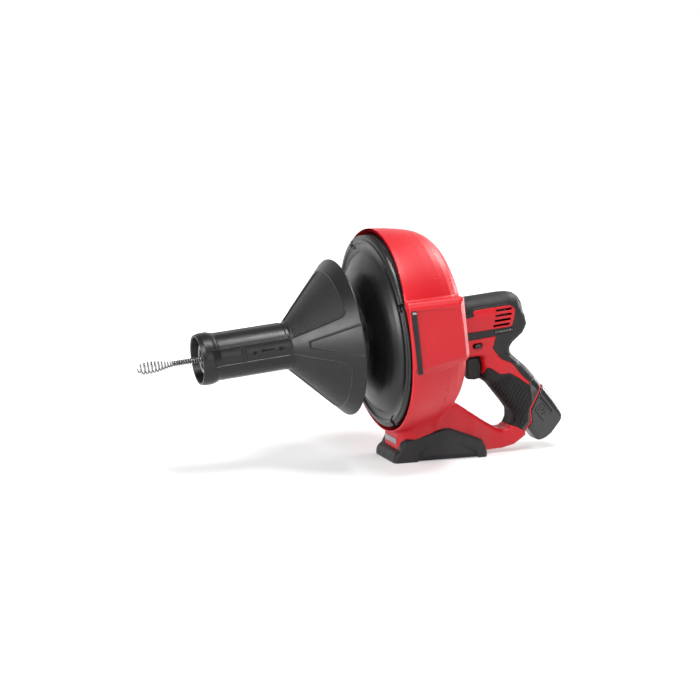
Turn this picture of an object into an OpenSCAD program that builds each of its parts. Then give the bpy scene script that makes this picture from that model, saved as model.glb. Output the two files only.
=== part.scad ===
// Cordless drum drain snake. Millimetres, +Z up, nose towards -X, battery towards +X.
// Origin: centre of the flat underside of the base boot. The drum axis tips nose-down.

/* [Drum and shroud] */
// Inner radius of the red shroud at its front lip
shroud_r = 138.4; // [138.2:0.1:138.8]
// Wall thickness of the shroud
shroud_wall = 3; // [2.6:0.1:3.4]
// Outside radius of the rotating drum
drum_r = 133; // [131:0.5:134]
// Nose-down angle of the drum axis, degrees
tilt = 5.9; // [5.7:0.1:6.1]
// Height of the drum axis above the floor at the shroud's front lip
axis_h = 179.5; // [179.3:0.1:179.9]

/* [Cable] */
// Diameter of the wound steel cable
cable_d = 8; // [7:0.5:8.5]
// Largest diameter of the bulb head
bulb_d = 17.5; // [14:0.5:19]
// Number of turns in the open part of the bulb head
bulb_turns = 9; // [6:1:11]

/* [Sleeve and chuck] */
// Radius of the funnel's open rim
cone_r = 107.3; // [104:0.1:108]
// Outside radius of the sleeve tube
tube_r = 31.9; // [31.6:0.1:33]
// Outside radius of the nozzle bell
bell_r = 35.2; // [34:0.1:37]
// Travel of the slide-action chuck
chuck_travel = 12; // [8:1:12]

/* [Handle and battery] */
// Half width of the grip core
grip_hw = 18; // [17.8:0.1:19]
// Half width of the battery foot
batt_hw = 22.6; // [22:0.1:24]
// Trigger travel
trigger_travel = 6; // [4:0.5:6]

/* [Base] */
// Half length of the boot
base_hl = 70; // [68:0.5:72]
// Half width of the boot
base_hw = 40.5; // [40:0.5:42]

/* [Gear train] */
// Gear module
gm = 0.62; // [0.62:0.01:0.62]
// Sun gear teeth
z_sun = 12; // [12:1:12]
// Planet gear teeth
z_planet = 24; // [24:1:24]
// Ring gear teeth
z_ring = 60; // [60:1:60]

/* [Hidden] */
$fn = 72;
xd = -86;
d_planet = gm*(z_sun + z_planet)/2;
cr = cable_d/2;
gx = 124; gz = 93.4; ga = 50;
red = [0.80, 0.10, 0.13];
blk = [0.13, 0.13, 0.135];
chr = [0.24, 0.24, 0.25];
stl = [0.62, 0.62, 0.63];

// ---- frames: T is the drum axis frame (x rearward along the axis), G is the grip frame
module T() { translate([xd, 0, axis_h]) rotate([0, -tilt, 0]) children(); }
module G() { translate([gx, 0, gz]) rotate([0, ga, 0]) children(); }
// turns a solid built along Z so that it runs along +X
module ax() { rotate([0, 90, 0]) children(); }
// a profile of [radius, x] revolved about the X axis
module rev(p) { ax() rotate_extrude() polygon(p); }
// a profile of [x, z] extruded from y0 to y1
module side(p, y0, y1) { translate([0, y1, 0]) rotate([90, 0, 0]) linear_extrude(height = y1 - y0) polygon(p); }
// a profile of [x, y] extruded from z0 to z1
module plan(p, z0, z1) { translate([0, 0, z0]) linear_extrude(height = z1 - z0) polygon(p); }
// a profile of [y, z] extruded along X from x0 to x1
module along(p, x0, x1) { translate([x0, 0, 0]) rotate([90, 0, 90]) linear_extrude(height = x1 - x0) polygon(p); }
module box(x0, x1, y0, y1, z0, z1) { translate([x0, y0, z0]) cube([x1 - x0, y1 - y0, z1 - z0]); }
module cyl(r, x0, x1) { translate([x0, 0, 0]) ax() cylinder(r = r, h = x1 - x0); }
function arc(cx, cy, r, a0, a1, n) = [for (i = [0:n]) [cx + r*cos(a0 + (a1 - a0)*i/n), cy + r*sin(a0 + (a1 - a0)*i/n)]];
function rrect(x0, x1, y0, y1, r, n = 6) = concat(arc(x1 - r, y1 - r, r, 0, 90, n), arc(x0 + r, y1 - r, r, 90, 180, n),
  arc(x0 + r, y0 + r, r, 180, 270, n), arc(x1 - r, y0 + r, r, 270, 360, n));
function mir(p) = [for (i = [len(p) - 1:-1:0]) [p[i][0], -p[i][1]]];
function sym(p) = concat(p, mir(p));
function symy(p) = concat(p, [for (i = [len(p) - 1:-1:0]) [-p[i][0], p[i][1]]]);

// ---- involute gears
function inv_a(a) = tan(a)*180/PI - a;
function half_at(z, r, bl) = let (rp = z*gm/2, rb = rp*cos(20)) 90/z - bl/(2*rp)*180/PI + inv_a(20) - inv_a(acos(min(1, rb/r)));
function gear_pts(z, add, ded, bl, n = 3) = let (rp = z*gm/2, rb = rp*cos(20), ra = rp + add, rf = rp - ded, r0 = max(rb*1.001, rf))
  [for (k = [0:z - 1]) let (c = k*360/z)
    each concat([[rf, c - half_at(z, r0, bl)]], [for (i = [0:n]) let (r = r0 + (ra - r0)*i/n) [r, c - half_at(z, r, bl)]],
      [for (i = [n:-1:0]) let (r = r0 + (ra - r0)*i/n) [r, c + half_at(z, r, bl)]], [[rf, c + half_at(z, r0, bl)]])];
function pol(p) = [for (q = p) [q[0]*cos(q[1]), q[0]*sin(q[1])]];
module gear2(z) { polygon(pol(gear_pts(z, gm, 1.22*gm, 0.12))); }
module planet(a, x0, x1) {
  T() ax() rotate([0, 0, a]) translate([d_planet, 0, x0]) rotate([0, 0, 180/z_planet]) difference() {
    linear_extrude(height = x1 - x0) gear2(z_planet);
    translate([0, 0, -1]) cylinder(r = 1.8, h = x1 - x0 + 2, $fn = 32);
  }
}

// ---- shroud
rs = shroud_r + 2.8;
ring_out = [[0, 0], [shroud_r + 1, 0], [rs - 0.4, 0.8], [rs, 3], [rs, 8], [rs - 0.5, 16], [135.7, 55], [131.9, 67],
  [127.8, 75], [121.5, 83], [112, 89], [100, 92.5], [0, 92.5]];
ring_in = [[0, -1], [shroud_r, -1], [shroud_r - 0.2, 14], [132.7, 54], [128.9, 65.6], [124.9, 73.2], [119, 80.4],
  [110.5, 86.1], [99.4, 92.5 - shroud_wall], [0, 92.5 - shroud_wall]];
wing_sec = [[100, 56], [133, 56], [141.5, 48.5], [141.5, -34], [133.5, -43], [100, -43]];
wing_plan = [[1.5, 100], [1.5, 140], [3, 141.5], [73, 141.5], [82, 132.5], [82, 100]];
wing_side = [[0, 57], [84, 54], [84, -27], [76, -34], [8, -44], [0, -44]];
module wing(d) {
  intersection() {
    along([for (p = wing_sec) [p[0] - (p[0] > 101 ? d : 0), p[1] - (p[1] > 0 ? d : -d)]], 1.5 + d, 82 - d);
    plan([for (p = wing_plan) [p[0] + (p[0] < 40 ? d : -d), p[1] - (p[1] > 101 ? d : 0)]], -60, 60);
    side([for (p = wing_side) [p[0], p[1] - (p[1] > 0 ? d : -d)]], 90, 150);
  }
}
ped_plan = sym([[-69, 26], [-66, 33], [-59, 36.5], [-42, 36.5]]);
module drum_shroud() {
  color(red) difference() {
    union() {
      T() rev(ring_out);
      for (s = [0, 1]) T() mirror([0, s, 0]) wing(0);
      plan(ped_plan, 17, 60);
    }
    T() rev(ring_in);
    for (s = [0, 1]) T() mirror([0, s, 0]) wing(shroud_wall);
    T() cyl(17, 80, 100);
    for (s = [0, 1]) T() mirror([0, s, 0]) {
      side([[13, 46], [67, 41.5], [73, 33], [76, -26], [13.5, -40]], 140.6, 145);
      side([[3.2, 45], [11, 44.5], [12.4, -39.5], [5.4, -40]], 140.2, 145);
    }
    box(-60, -38, -32, 32, 10, 38);
    T() for (a = [20:40:340]) rotate([a, 0, 0]) translate([0, 0, 70]) cyl(2.2, 85, 96);
  }
}
module shroud_side_strips() {
  color(chr) for (s = [0, 1]) T() mirror([0, s, 0])
    side([[3.4, 44.8], [10.8, 44.3], [12.2, -39.3], [5.6, -39.8]], 140.3, 141.9);
}

// ---- tool housing
body_side = [[92.8, 6], [205, 6], [222, 0], [224.5, -20], [221, -26], [218, -32], [201, -41.6], [197.7, -48.7],
  [197.1, -55.8], [200.8, -66.5], [206, -71.5], [180, -96], [153, -90.6], [149.8, -88], [151, -75], [150, -58], [146, -56], [92.8, -54]];
body_sec = symy([[23.8, 10], [23.8, -30], [19.2, -56], [18, -74], [18, -110]]);
body_in = [[95.5, 4], [205, 4], [218, -2], [218, -24], [199, -38], [194.5, -48], [193, -60], [190, -70], [176, -84], [166, -84], [166, -52], [95.5, -51]];
body_sec_in = symy([[21, 10], [21, -30], [16.6, -56], [15.4, -74], [15.4, -110]]);
barrel = [[0, 92.8], [26.6, 92.8], [26.6, 203], [24.5, 214], [19, 220], [0, 221.5]];
barrel_in = [[0, 92], [25.4, 92], [25.4, 200], [22, 213], [0, 216]];
// grip section, as [-v, y] in the grip frame
grip_sec = rrect(-27.6, 27.6, -grip_hw, grip_hw, 13, 7);
collar_sec = rrect(-29.4, 26.4, -batt_hw, batt_hw, 13, 7);
// region of the battery foot in the grip frame, [u, v]
foot_zone = [[22.5, 34], [24.4, 25.5], [38.5, -8.1], [52, -16.9], [58.5, -34], [120, -60], [120, 60], [20, 60]];
base_side = [[-41.5, 5], [-41.5, 45], [-20, 75], [34, 74.5], [42.9, 65.4], [67.6, 49.5], [92.5, 34.8], [101.8, 32.7], [108, 33.7],
  [114.2, 37.7], [118, 44.7], [118.7, 51.9], [124, 66], [150, 44], [147.3, 23.8], [137.1, 21.5], [120.2, 9.5], [101.7, 5.6], [83, 5.2]];
base_plan = sym([[-41.5, 33], [52, 33], [84, 19.5], [160, 19.5]]);
bar_in = [[-38, 8], [-38, 42], [-22, 60], [30, 68], [66, 45], [92, 30.5], [104, 29.5], [118, 38], [128, 52], [136, 42], [134, 24], [118, 12.5], [100, 8.5], [80, 8]];
module vents(s) {
  T() for (k = [0:3]) side([[171 - 1.8*k, 7.5 - 7*k], [196 - 1.6*k, 7.7 - 7*k], [196 - 1.6*k, 5.2 - 7*k], [171.6 - 1.8*k, 5 - 7*k]], s > 0 ? 15 : -40, s > 0 ? 40 : -15);
}
module housing(s) {
  color(red) difference() {
    union() {
      T() rev(barrel);
      T() intersection() { side(body_side, -30, 30); along(body_sec, 92, 230); }
      // red side panels stand proud of the barrel, level with the overmould
      T() intersection() {
        rev([[0, 96], [28.2, 96], [28.2, 206], [0, 206]]);
        side([[96, 11.3], [195, 11.3], [202, 4.6], [195, -19], [96, -18.5]], -40, 40);
      }
      difference() {
        union() {
          G() translate([-46, 0, 0]) ax() linear_extrude(height = 110) polygon(grip_sec);
          G() translate([14, 0, 0]) ax() linear_extrude(height = 50) polygon(collar_sec);
        }
        T() box(90, 150, -40, 40, -120, 40);
        T() box(60, 230, -40, 40, -41, 60);
      }
      intersection() { side(base_side, -40, 40); plan(base_plan, 0, 90); }
    }
    // keep one half
    box(-200, 400, s > 0 ? -80 : -0.05, s > 0 ? 0.05 : 80, -10, 300);
    G() side(foot_zone, -60, 60);
    T() rev([for (p = ring_out) [p[0] + (p[0] > 0 ? 0.25 : 0), p[1] + (p[1] > 90 ? 0.25 : 0)]]);
    T() rev(barrel_in);
    T() intersection() { side(body_in, -30, 30); along(body_sec_in, 94, 222); }
    // battery well
    G() translate([-46, 0, 0]) ax() linear_extrude(height = 112) polygon(rrect(-21.4, 19.4, -15.8, 15.8, 9, 5));
    intersection() { side(bar_in, -40, 40); plan(sym([[-38, 30], [51, 30], [82, 16.6], [160, 16.6]]), 0, 90); }
    // trigger opening
    T() box(140, 166, -8.4, 8.4, -91, -57.6);
    // selector passage
    T() box(134.6, 149.4, -40, 40, -43.4, -36.6);
    vents(s);
    T() for (y = [-1, 1]) side([[168, -21.4], [196, -21.2], [195, -25.4], [168, -26.2]], y > 0 ? 22.5 : -26, y > 0 ? 26 : -22.5);
    // screw holes, right half only
    if (s > 0) for (p = screw_at) translate([p[0], p[2] - 5, p[1]]) rotate([-90, 0, 0]) cylinder(r = 2.6, h = 30, $fn = 24);
    if (s > 0) for (p = screw_at) translate([p[0], 2, p[1]]) rotate([-90, 0, 0]) cylinder(r = 1.6, h = 30, $fn = 24);
  }
}
// housing screws: x, z, y of the head face
screw_at = [[96, 205, 27], [84, 153, 17.5], [104, 122, 15.5], [102, 88, 15.5], [127, 55, 17.6], [92, 22, 18.4], [56, 42, 28]];
module left_housing() { housing(-1); }
module right_housing() { housing(1); }
module housing_screws() {
  color(stl) for (p = screw_at) translate([p[0], p[2] - 4.6, p[1]]) rotate([-90, 0, 0]) difference() {
    union() {
      cylinder(r = 2.5, h = 2.6, $fn = 24);
      translate([0, 0, -5]) cylinder(r = 1.5, h = 5.2, $fn = 24);
    }
    translate([0, 0, 1.4]) cylinder(r = 1.1, h = 2, $fn = 6);
  }
}

// soft black cover over the top and back of the motor barrel and down the back of the grip
module motor_overmould() {
  color(chr) difference() {
    union() {
      T() rev([[0, 96], [28.4, 96], [28.4, 203], [26.6, 214], [21.6, 221.5], [14, 224.4], [0, 225.2]]);
      T() intersection() {
        side([[96, -18], [214, 0], [222, 0], [226.6, -20], [222.6, -26], [219.6, -32], [202.6, -42], [199.4, -48.7], [198.8, -55.8], [202.4, -66], [208.4, -71.8], [201, -76.5],
          [189.5, -69.5], [177, -63], [164.8, -46.6], [170.2, -29.4], [96, -31]], -30, 30);
        along(symy([[25.4, 10], [25.4, -31], [20.8, -56], [19.6, -74], [19.6, -110]]), 95, 230);
      }
      G() intersection() {
        translate([-46, 0, 0]) ax() linear_extrude(height = 110) polygon(rrect(-29.4, 29.4, -grip_hw - 1.7, grip_hw + 1.7, 14, 7));
        side([[-36, 20], [-36, 40], [26, 40], [24.2, 31], [24, 26], [38, -7.6], [34, -7], [18, 13], [10, 20]], -40, 40);
      }
    }
    T() rev([[0, 90], [26.7, 90], [26.7, 203.1], [24.6, 214.1], [19.1, 220.1], [0, 221.6]]);
    T() intersection() { side([[90, 6], [205, 6], [222.1, 0.1], [224.6, -20], [221.1, -26], [218.1, -32.1], [201.1, -41.7], [197.8, -48.7], [197.2, -55.8], [200.9, -66.5],
      [206.1, -71.6], [180, -98], [140, -98], [90, -60]], -31, 31); along(symy([[23.9, 20], [23.9, -30], [19.3, -56], [18.1, -74], [18.1, -120]]), 89, 231); }
    T() side([[90, 11.5], [195.1, 11.5], [202.3, 4.6], [195.2, -19.2], [90, -18.7]], -40, 40);
    G() translate([-50, 0, 0]) ax() linear_extrude(height = 120) polygon(rrect(-27.7, 27.7, -grip_hw - 0.1, grip_hw + 0.1, 13.1, 7));
    G() translate([13.8, 0, 0]) ax() linear_extrude(height = 50) polygon(rrect(-29.5, 26.5, -batt_hw - 0.1, batt_hw + 0.1, 13, 7));
    G() side(foot_zone, -60, 60);
    T() box(134.6, 149.4, -40, 40, -43.4, -36.6);
    T() for (y = [-1, 1]) side([[168, -21.4], [196, -21.2], [195, -25.4], [168, -26.2]], y > 0 ? 22.5 : -27, y > 0 ? 27 : -22.5);
    T() box(60, 200, -16, 16, -60, 0);
  }
}
// ribbed rubber around the front and the sides of the grip, [u, v] zone in the grip frame
grip_zone = [[-34, -40], [-36.5, -20], [-33, -10], [-28, -9], [-20, -8], [-12, -2], [0, 6], [13.6, 12], [13.6, -2], [13.6, -20], [24, -26], [30, -40]];
module grip_overmould() {
  color(blk) difference() {
    G() difference() {
      intersection() {
        translate([-46, 0, 0]) ax() linear_extrude(height = 110) polygon(rrect(-29.4, 29.4, -grip_hw - 1.9, grip_hw + 1.9, 14, 7));
        side(grip_zone, -40, 40);
      }
      translate([-50, 0, 0]) ax() linear_extrude(height = 120) polygon(rrect(-27.7, 27.7, -grip_hw - 0.1, grip_hw + 0.1, 13.1, 7));
      translate([13.8, 0, 0]) ax() linear_extrude(height = 60) polygon(rrect(-29.5, 26.5, -batt_hw - 0.1, batt_hw + 0.1, 13, 7));
      for (k = [0:8]) for (s = [-1, 1]) translate([-27 + 4.6*k, s*(grip_hw + 2.5), -14]) rotate([0, 24, 0]) translate([0, 0, -8]) cylinder(r = 1.1, h = 18, $fn = 16);
    }
    T() box(100, 230, -40, 40, -94, 0);
  }
}
module gauge_window() {
  color([0.55, 0.56, 0.58]) T() for (y = [-1, 1]) side([[168.2, -21.6], [195.8, -21.4], [194.8, -25.2], [168.2, -26]], y > 0 ? 22.7 : -25.6, y > 0 ? 25.6 : -22.7);
}

// ---- base boot
boot_side = [[-base_hl, 0], [-base_hl, 8.5], [-66, 15], [-61, 17], [-58, 30.5], [-52, 33.4], [9, 46.7], [60.5, 25.4], [64.6, 22], [base_hl, 7], [base_hl - 0.6, 0]];
module base_boot() {
  color(chr) difference() {
    intersection() {
      side(boot_side, -base_hw, base_hw);
      plan(sym([[-base_hl, 28], [-base_hl + 6, base_hw - 1], [-base_hl + 9, base_hw], [base_hl - 5, base_hw], [base_hl, base_hw - 5]]), -1, 60);
      along(symy([[base_hw, -1], [base_hw, 8], [38.4, 50]]), -80, 80);
    }
    // the base of the housing and the shroud's pedestal stand inside it
    plan(sym([[-61, 0], [-60.5, 33.2], [52.1, 33.2], [71, 25.3], [100, 25.3]]), 4.9, 70);
    plan(sym([for (p = ped_plan) if (p[1] > 0) [p[0] + (p[0] > -50 ? 0.2 : -0.15), p[1] + 0.15]]), 16.9, 70);
    // the long edges are relieved between the front and rear pads
    for (s = [-1, 1]) box(-36, 54, s > 0 ? 28 : -60, s > 0 ? 60 : -28, -1, 1.6);
    for (s = [-1, 1]) side([[-32, 5], [-30, 14.5], [-24, 18], [10, 29], [46, 15.4], [51, 11], [52, 5]], s > 0 ? base_hw - 1.9 : -base_hw - 1, s > 0 ? base_hw + 1 : -base_hw + 1.9);
  }
}
module rating_plate() { color([0.62, 0.62, 0.64]) box(-69.9, -69.02, -23, 23, 23.5, 31.5); }

// ---- gear train, motor
module gearcase() {
  color([0.55, 0.56, 0.58]) T() rev([[9, 88.6], [16.8, 88.6], [16.8, 92.9], [25.2, 92.9], [25.2, 129.9], [22.1, 129.9], [22.1, 102.6], [14, 102.6], [14, 93.5], [9, 93.5]]);
}
module output_bearing() { color(stl) T() rev([[7.55, 93.5], [14, 93.5], [14, 101.5], [12.2, 101.5], [12.2, 100.9], [9.6, 100.9], [9.6, 101.5], [7.55, 101.5]]); }
module ring_gear() {
  color(stl) T() translate([103.2, 0, 0]) ax() difference() {
    cylinder(r = 22.1, h = 24.3);
    translate([0, 0, -1]) linear_extrude(height = 27) rotate([0, 0, 180/z_ring]) polygon(pol(gear_pts(z_ring, 1.25*gm, 0.95*gm, -0.12)));
  }
}
module motor_can() { color(stl) T() rev([[1.7, 130.2], [18.2, 130.2], [18.2, 187], [17, 187], [17, 131.8], [1.7, 131.8]]); }
module motor_magnets() {
  color([0.2, 0.2, 0.21]) T() intersection() {
    rev([[12.2, 138], [17, 138], [17, 175], [12.2, 175]]);
    union() { box(130, 190, -20, 20, 4, 20); box(130, 190, -20, 20, -20, -4); }
  }
}
module motor_endcap() { color([0.15, 0.15, 0.16]) T() rev([[1.7, 187.1], [18.2, 187.1], [18.2, 191], [12, 193], [1.7, 193]]); }
module motor_rotor() {
  color([0.7, 0.45, 0.2]) T() union() {
    cyl(1.6, 118.6, 205);
    cyl(11.4, 141, 172);
    rev([[0, 136.5], [8, 136.5], [10, 138.5], [10, 141], [0, 141]]);
    rev([[0, 172], [10, 172], [10, 174], [8, 176], [5, 176], [5, 185], [0, 185]]);
  }
}
module motor_pinion() {
  color(stl) T() translate([118.6, 0, 0]) ax() difference() {
    linear_extrude(height = 9) gear2(z_sun);
    translate([0, 0, -1]) cylinder(r = 1.6, h = 12, $fn = 32);
  }
}
module cooling_fan() {
  color(blk) T() difference() {
    union() {
      cyl(16.5, 196, 197.2);
      cyl(4, 195, 203);
      for (k = [0:8]) rotate([40*k, 0, 0]) box(197, 203, -0.6, 0.6, 3.5, 16);
    }
    cyl(1.6, 190, 210);
  }
}
module first_carrier() {
  color(stl) T() union() {
    cyl(14.4, 115.2, 118);
    for (k = [0:2]) ax() rotate([0, 0, 120*k]) translate([d_planet, 0, 117.8]) cylinder(r = 1.75, h = 8.4, $fn = 32);
    translate([106.6, 0, 0]) ax() linear_extrude(height = 8.7) gear2(z_sun);
  }
}
module planet_a1() { color(stl) planet(0, 118.5, 125.5); }
module planet_a2() { color(stl) planet(120, 118.5, 125.5); }
module planet_a3() { color(stl) planet(240, 118.5, 125.5); }
module planet_b1() { color(stl) planet(0, 106.9, 114.4); }
module planet_b2() { color(stl) planet(120, 106.9, 114.4); }
module planet_b3() { color(stl) planet(240, 106.9, 114.4); }
module output_carrier() {
  color(stl) T() union() {
    cyl(7.5, 72, 103.8);
    cyl(15.5, 103.6, 106.4);
    for (k = [0:2]) ax() rotate([0, 0, 120*k]) translate([d_planet, 0, 106.2]) cylinder(r = 1.75, h = 8.4, $fn = 32);
  }
}

// ---- drum
dr = drum_r;
drum_out = [[dr, 4], [dr, -0.8], [dr - 1.4, -2.4], [dr - 4, -2.4], [dr - 5.2, -4.6], [dr - 9, -4.6], [dr - 11, -2], [dr - 15, -0.6],
  [dr - 20, -1.6], [dr - 25, -5.6], [100, -11], [90, -17], [78, -21.5], [64, -25], [50, -26.5], [38, -26.5], [28, -24.5], [20, -24]];
drum_fin = [[15.2, -24], [15.2, -21], [28, -21.6], [38, -23.6], [50, -23.6], [64, -22.1], [78, -18.6], [90, -14.2], [99, -8.6],
  [dr - 26, -3], [dr - 20.5, 1.2], [dr - 15, 2.4], [dr - 2.6, 2.4], [dr - 2.6, 4]];
module drum_front() {
  color(blk) T() difference() {
    rev(concat(drum_out, drum_fin));
    for (k = [0:3]) rotate([90*k + 22, 0, 0]) translate([0, 0, dr - 8.4]) { cyl(4.3, -8, 0.2); cyl(1.7, -8, 5); translate([0, 0, 0]) box(-8, 0.2, -4.3, 4.3, 0, 6); }
  }
}
module drum_screws() {
  color(stl) T() for (k = [0:3]) rotate([90*k + 22, 0, 0]) translate([0, 0, dr - 8.4]) difference() {
    union() { cyl(3.4, -1.8, 0.2); cyl(1.6, 0, 9); }
    ax() translate([0, 0, -2.4]) cylinder(r = 1.5, h = 1.6, $fn = 6);
  }
}
module drum_rear() {
  color(blk) T() difference() {
    union() {
      rev([[dr, 4.1], [dr, 12], [dr - 3.5, 50], [dr - 8, 65], [dr - 14, 74], [dr - 26, 80], [60, 83], [22, 84], [20, 88], [7.5, 88], [7.5, 73], [20, 73], [22, 81],
        [60, 80], [dr - 27, 77], [dr - 16.4, 71.5], [dr - 10.6, 63.5], [dr - 6.2, 49.5], [dr - 2.7, 12], [dr - 2.7, 4.1]]);
      for (k = [0:3]) rotate([90*k + 22, 0, 0]) translate([0, 0, dr - 8.4]) cyl(3.6, 4.1, 12);
      for (k = [0:3]) rotate([90*k + 22, 0, 0]) translate([0, 0, dr - 4.2]) box(4.1, 12, -2, 2, -2, 3.4);
    }
    for (k = [0:3]) rotate([90*k + 22, 0, 0]) translate([0, 0, dr - 8.4]) cyl(1.6, 0, 9);
  }
}
// spout: the drum's nose, with three windows for the jaws
module spout_tube() {
  color([0.5, 0.5, 0.52]) T() difference() {
    rev([[5.6, 4], [12, 4], [12, -18.6], [24, -18.6], [24, -20.9], [15.2, -20.9], [15.2, -28], [14, -30], [14, -236], [5.6, -236]]);
    for (k = [0:2]) rotate([120*k, 0, 0]) box(-232.1, -219.9, -4.1, 4.1, 0, 20);
  }
}
module jaw(k) {
  color(stl) T() rotate([120*k, 0, 0]) difference() {
    box(-232, -220, -4, 4, cr + 3, 16.3);
    translate([0, 0, 3]) cyl(cr + 0.6, -233, -219);
  }
}
module jaw_1() { jaw(0); }
module jaw_2() { jaw(1); }
module jaw_3() { jaw(2); }
module chuck_collar() {
  color([0.42, 0.42, 0.44]) T() rev([[14.1, -246], [19, -246], [20, -245], [20, -134], [14.06, -134], [14.06, -214], [17, -217], [17, -232], [14.1, -244]]);
}
module sleeve_bearings() {
  color(stl) T() { rev([[20, -150], [28.2, -150], [28.2, -143], [20, -143]]); rev([[20, -231], [28.2, -231], [28.2, -224], [20, -224]]); }
}
sl_out = [[cone_r - 1.2, -50.6], [cone_r, -51.4], [cone_r, -53], [tube_r, -129], [tube_r, -228], [bell_r - 1.2, -236], [bell_r, -240],
  [bell_r, -247], [bell_r - 1.4, -252], [bell_r - 3, -253]];
sl_in = [[27.4, -253], [27, -252], [27, -236], [28.25, -235], [28.25, -138], [30.5, -127], [cone_r - 3.4, -52.6], [cone_r - 3, -50.8]];
module funnel_sleeve() {
  color(chr) T() difference() {
    rev(concat(sl_out, sl_in));
    for (s = [0, 1]) mirror([0, s, 0]) side([[-240, -18], [-136, -18], [-130, -5], [-228, -5]], 31.2, 40);
  }
}

// ---- cable: nine closed turns in the drum, then one open turn that bends inward through the guide
xg = 52; rt = 104; b1 = 40; tx = sqrt((rt - b1)*(rt - b1) - b1*b1); a1 = atan2(tx, b1);
module turn(r, x) { translate([x, 0, 0]) ax() rotate_extrude() translate([r, 0]) circle(r = cr, $fn = 24); }
module cable_coil() {
  color(stl) T() {
    for (k = [0:4]) turn(119, 16 + 8.5*k);
    for (k = [0:3]) turn(111.6, 20.25 + 8.5*k);
    // open turn, ending where the inward bend starts (angles from +Y towards +Z)
    translate([xg, 0, 0]) rotate([0, 0, 0]) yz_arc(0, 0, rt, a1, a1 + 340);
    translate([xg, 0, 0]) yz_arc(b1, tx, b1, a1, 180);
    // radial run and the bend on to the axis
    translate([xg, 0, 45]) cylinder(r = cr, h = tx - 45, $fn = 24);
    translate([xg - 45, 0, 45]) rotate([90, 0, 0]) rotate([0, 0, -90]) rotate_extrude(angle = 90) translate([45, 0]) circle(r = cr, $fn = 24);
    cyl(cr, -100, xg - 45);
  }
}
// arc of cable in the plane across the axis: centre (y, z), radius, from angle a to b
module yz_arc(cy, cz, r, a, b) {
  translate([0, cy, cz]) rotate([90, 0, 90]) rotate([0, 0, a]) rotate_extrude(angle = b - a) translate([r, 0]) circle(r = cr, $fn = 24);
}
module cable_guide() {
  color([0.3, 0.3, 0.31]) T() {
    difference() {
      union() {
        translate([xg - 45, 0, 45]) rotate([90, 0, 0]) rotate([0, 0, -90]) rotate_extrude(angle = 90) translate([45, 0]) circle(r = cr + 3, $fn = 32);
        box(xg + 2, 80.2, -3, 3, 24, 44);
      }
      translate([xg - 45, 0, 45]) rotate([90, 0, 0]) rotate([0, 0, -92]) rotate_extrude(angle = 94) translate([45, 0]) circle(r = cr + 0.8, $fn = 32);
      cyl(14, 70, 90);
    }
  }
}
module cable_lead() { color(stl) T() cyl(cr, -285.35, -100.4); }
// bulb head: an open helix that swells and narrows again
function bulb_r(t) = cr - 1.2 + (bulb_d/2 - 1.1 - (cr - 1.2))*pow(sin(min(1, t*1.35)*90), 1.4)*(t > 0.9 ? 1 - (t - 0.9)*2.2 : 1);
hn = 14; hs = 6; wire = 1.15;
module auger_head() {
  n = bulb_turns*hn;
  pts = [for (i = [0:n]) let (t = i/n, r = bulb_r(t), a = 360*bulb_turns*t, c = [-286.5 - 45*pow(t, 1.08), r*cos(a), r*sin(a)])
    for (j = [0:hs - 1]) let (b = 360*j/hs) c + wire*[cos(b), sin(b)*cos(a), sin(b)*sin(a)]];
  fs = concat([[for (j = [hs - 1:-1:0]) j]],
    [for (i = [0:n - 1]) for (j = [0:hs - 1]) let (j2 = (j + 1)%hs) each [[i*hs + j, i*hs + j2, (i + 1)*hs + j2], [i*hs + j, (i + 1)*hs + j2, (i + 1)*hs + j]]],
    [[for (j = [0:hs - 1]) n*hs + j]]);
  color(stl) T() polyhedron(points = pts, faces = [for (f = fs) [for (k = [len(f) - 1:-1:0]) f[k]]]);
}

// ---- controls
trig_side = [[132, -58.4], [128.4, -64], [127, -72], [127.4, -82], [130, -89], [140, -90.6], [147, -89.6], [150.4, -85], [152, -76], [151, -66], [147.4, -58.8], [140, -57.8]];
module trigger() {
  color(chr) T() union() {
    intersection() { side(trig_side, -8, 8); plan(sym([[127, 4.5], [131, 7.6], [136, 8], [155, 8]]), -95, -50); }
    box(146, 157.5, -6, 6, -80, -58.2);
  }
}
module trigger_switch() {
  color([0.12, 0.12, 0.13]) T() union() { box(166.2, 182, -9, 9, -70, -52.2); box(164, 166.4, -4, 4, -67, -60); }
}
module direction_selector() {
  color(blk) T() union() {
    along(rrect(-24.9, 24.9, -42.6, -37.4, 2, 4), 136, 148);
    along([for (p = rrect(-25.9, 25.9, -41.4, -38.6, 1, 3)) p], 138, 146);
  }
}
module control_board() {
  color([0.1, 0.3, 0.16]) T() difference() {
    union() { box(168, 195, -20.6, 20.6, -33, -31.4); box(172, 188, -8, 8, -36.4, -33); }
    for (y = [-14.2, 14.2]) translate([192.7, y, -36]) cylinder(r = 1.45, h = 8, $fn = 24);
  }
}
module terminal_block() { color([0.15, 0.15, 0.16]) G() difference() { box(-40, -33.6, -5.6, 5.6, -15, 15); for (y = [-3.6, 0, 3.6]) box(-37, -33, y - 0.7, y + 0.7, -6, 6); } }
module lead_run(p) { for (i = [0:len(p) - 2]) let (d = p[i + 1] - p[i], l = norm(d)) translate(p[i]) rotate([0, acos(d[2]/l), atan2(d[1], d[0])]) cylinder(r = 1.1, h = l, $fn = 8); for (i = [1:len(p) - 2]) translate(p[i]) sphere(r = 1.5, $fn = 16); }
module motor_leads() {
  for (s = [-1, 1]) color(s > 0 ? [0.1, 0.1, 0.1] : red) T() {
    lead_run([[193.3, 15.6*s, 0], [194, 17.6*s, -10], [192, 12.4*s, -44], [184, 11.2*s, -52], [178, 11.2*s, -58]]);
  }
}

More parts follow.
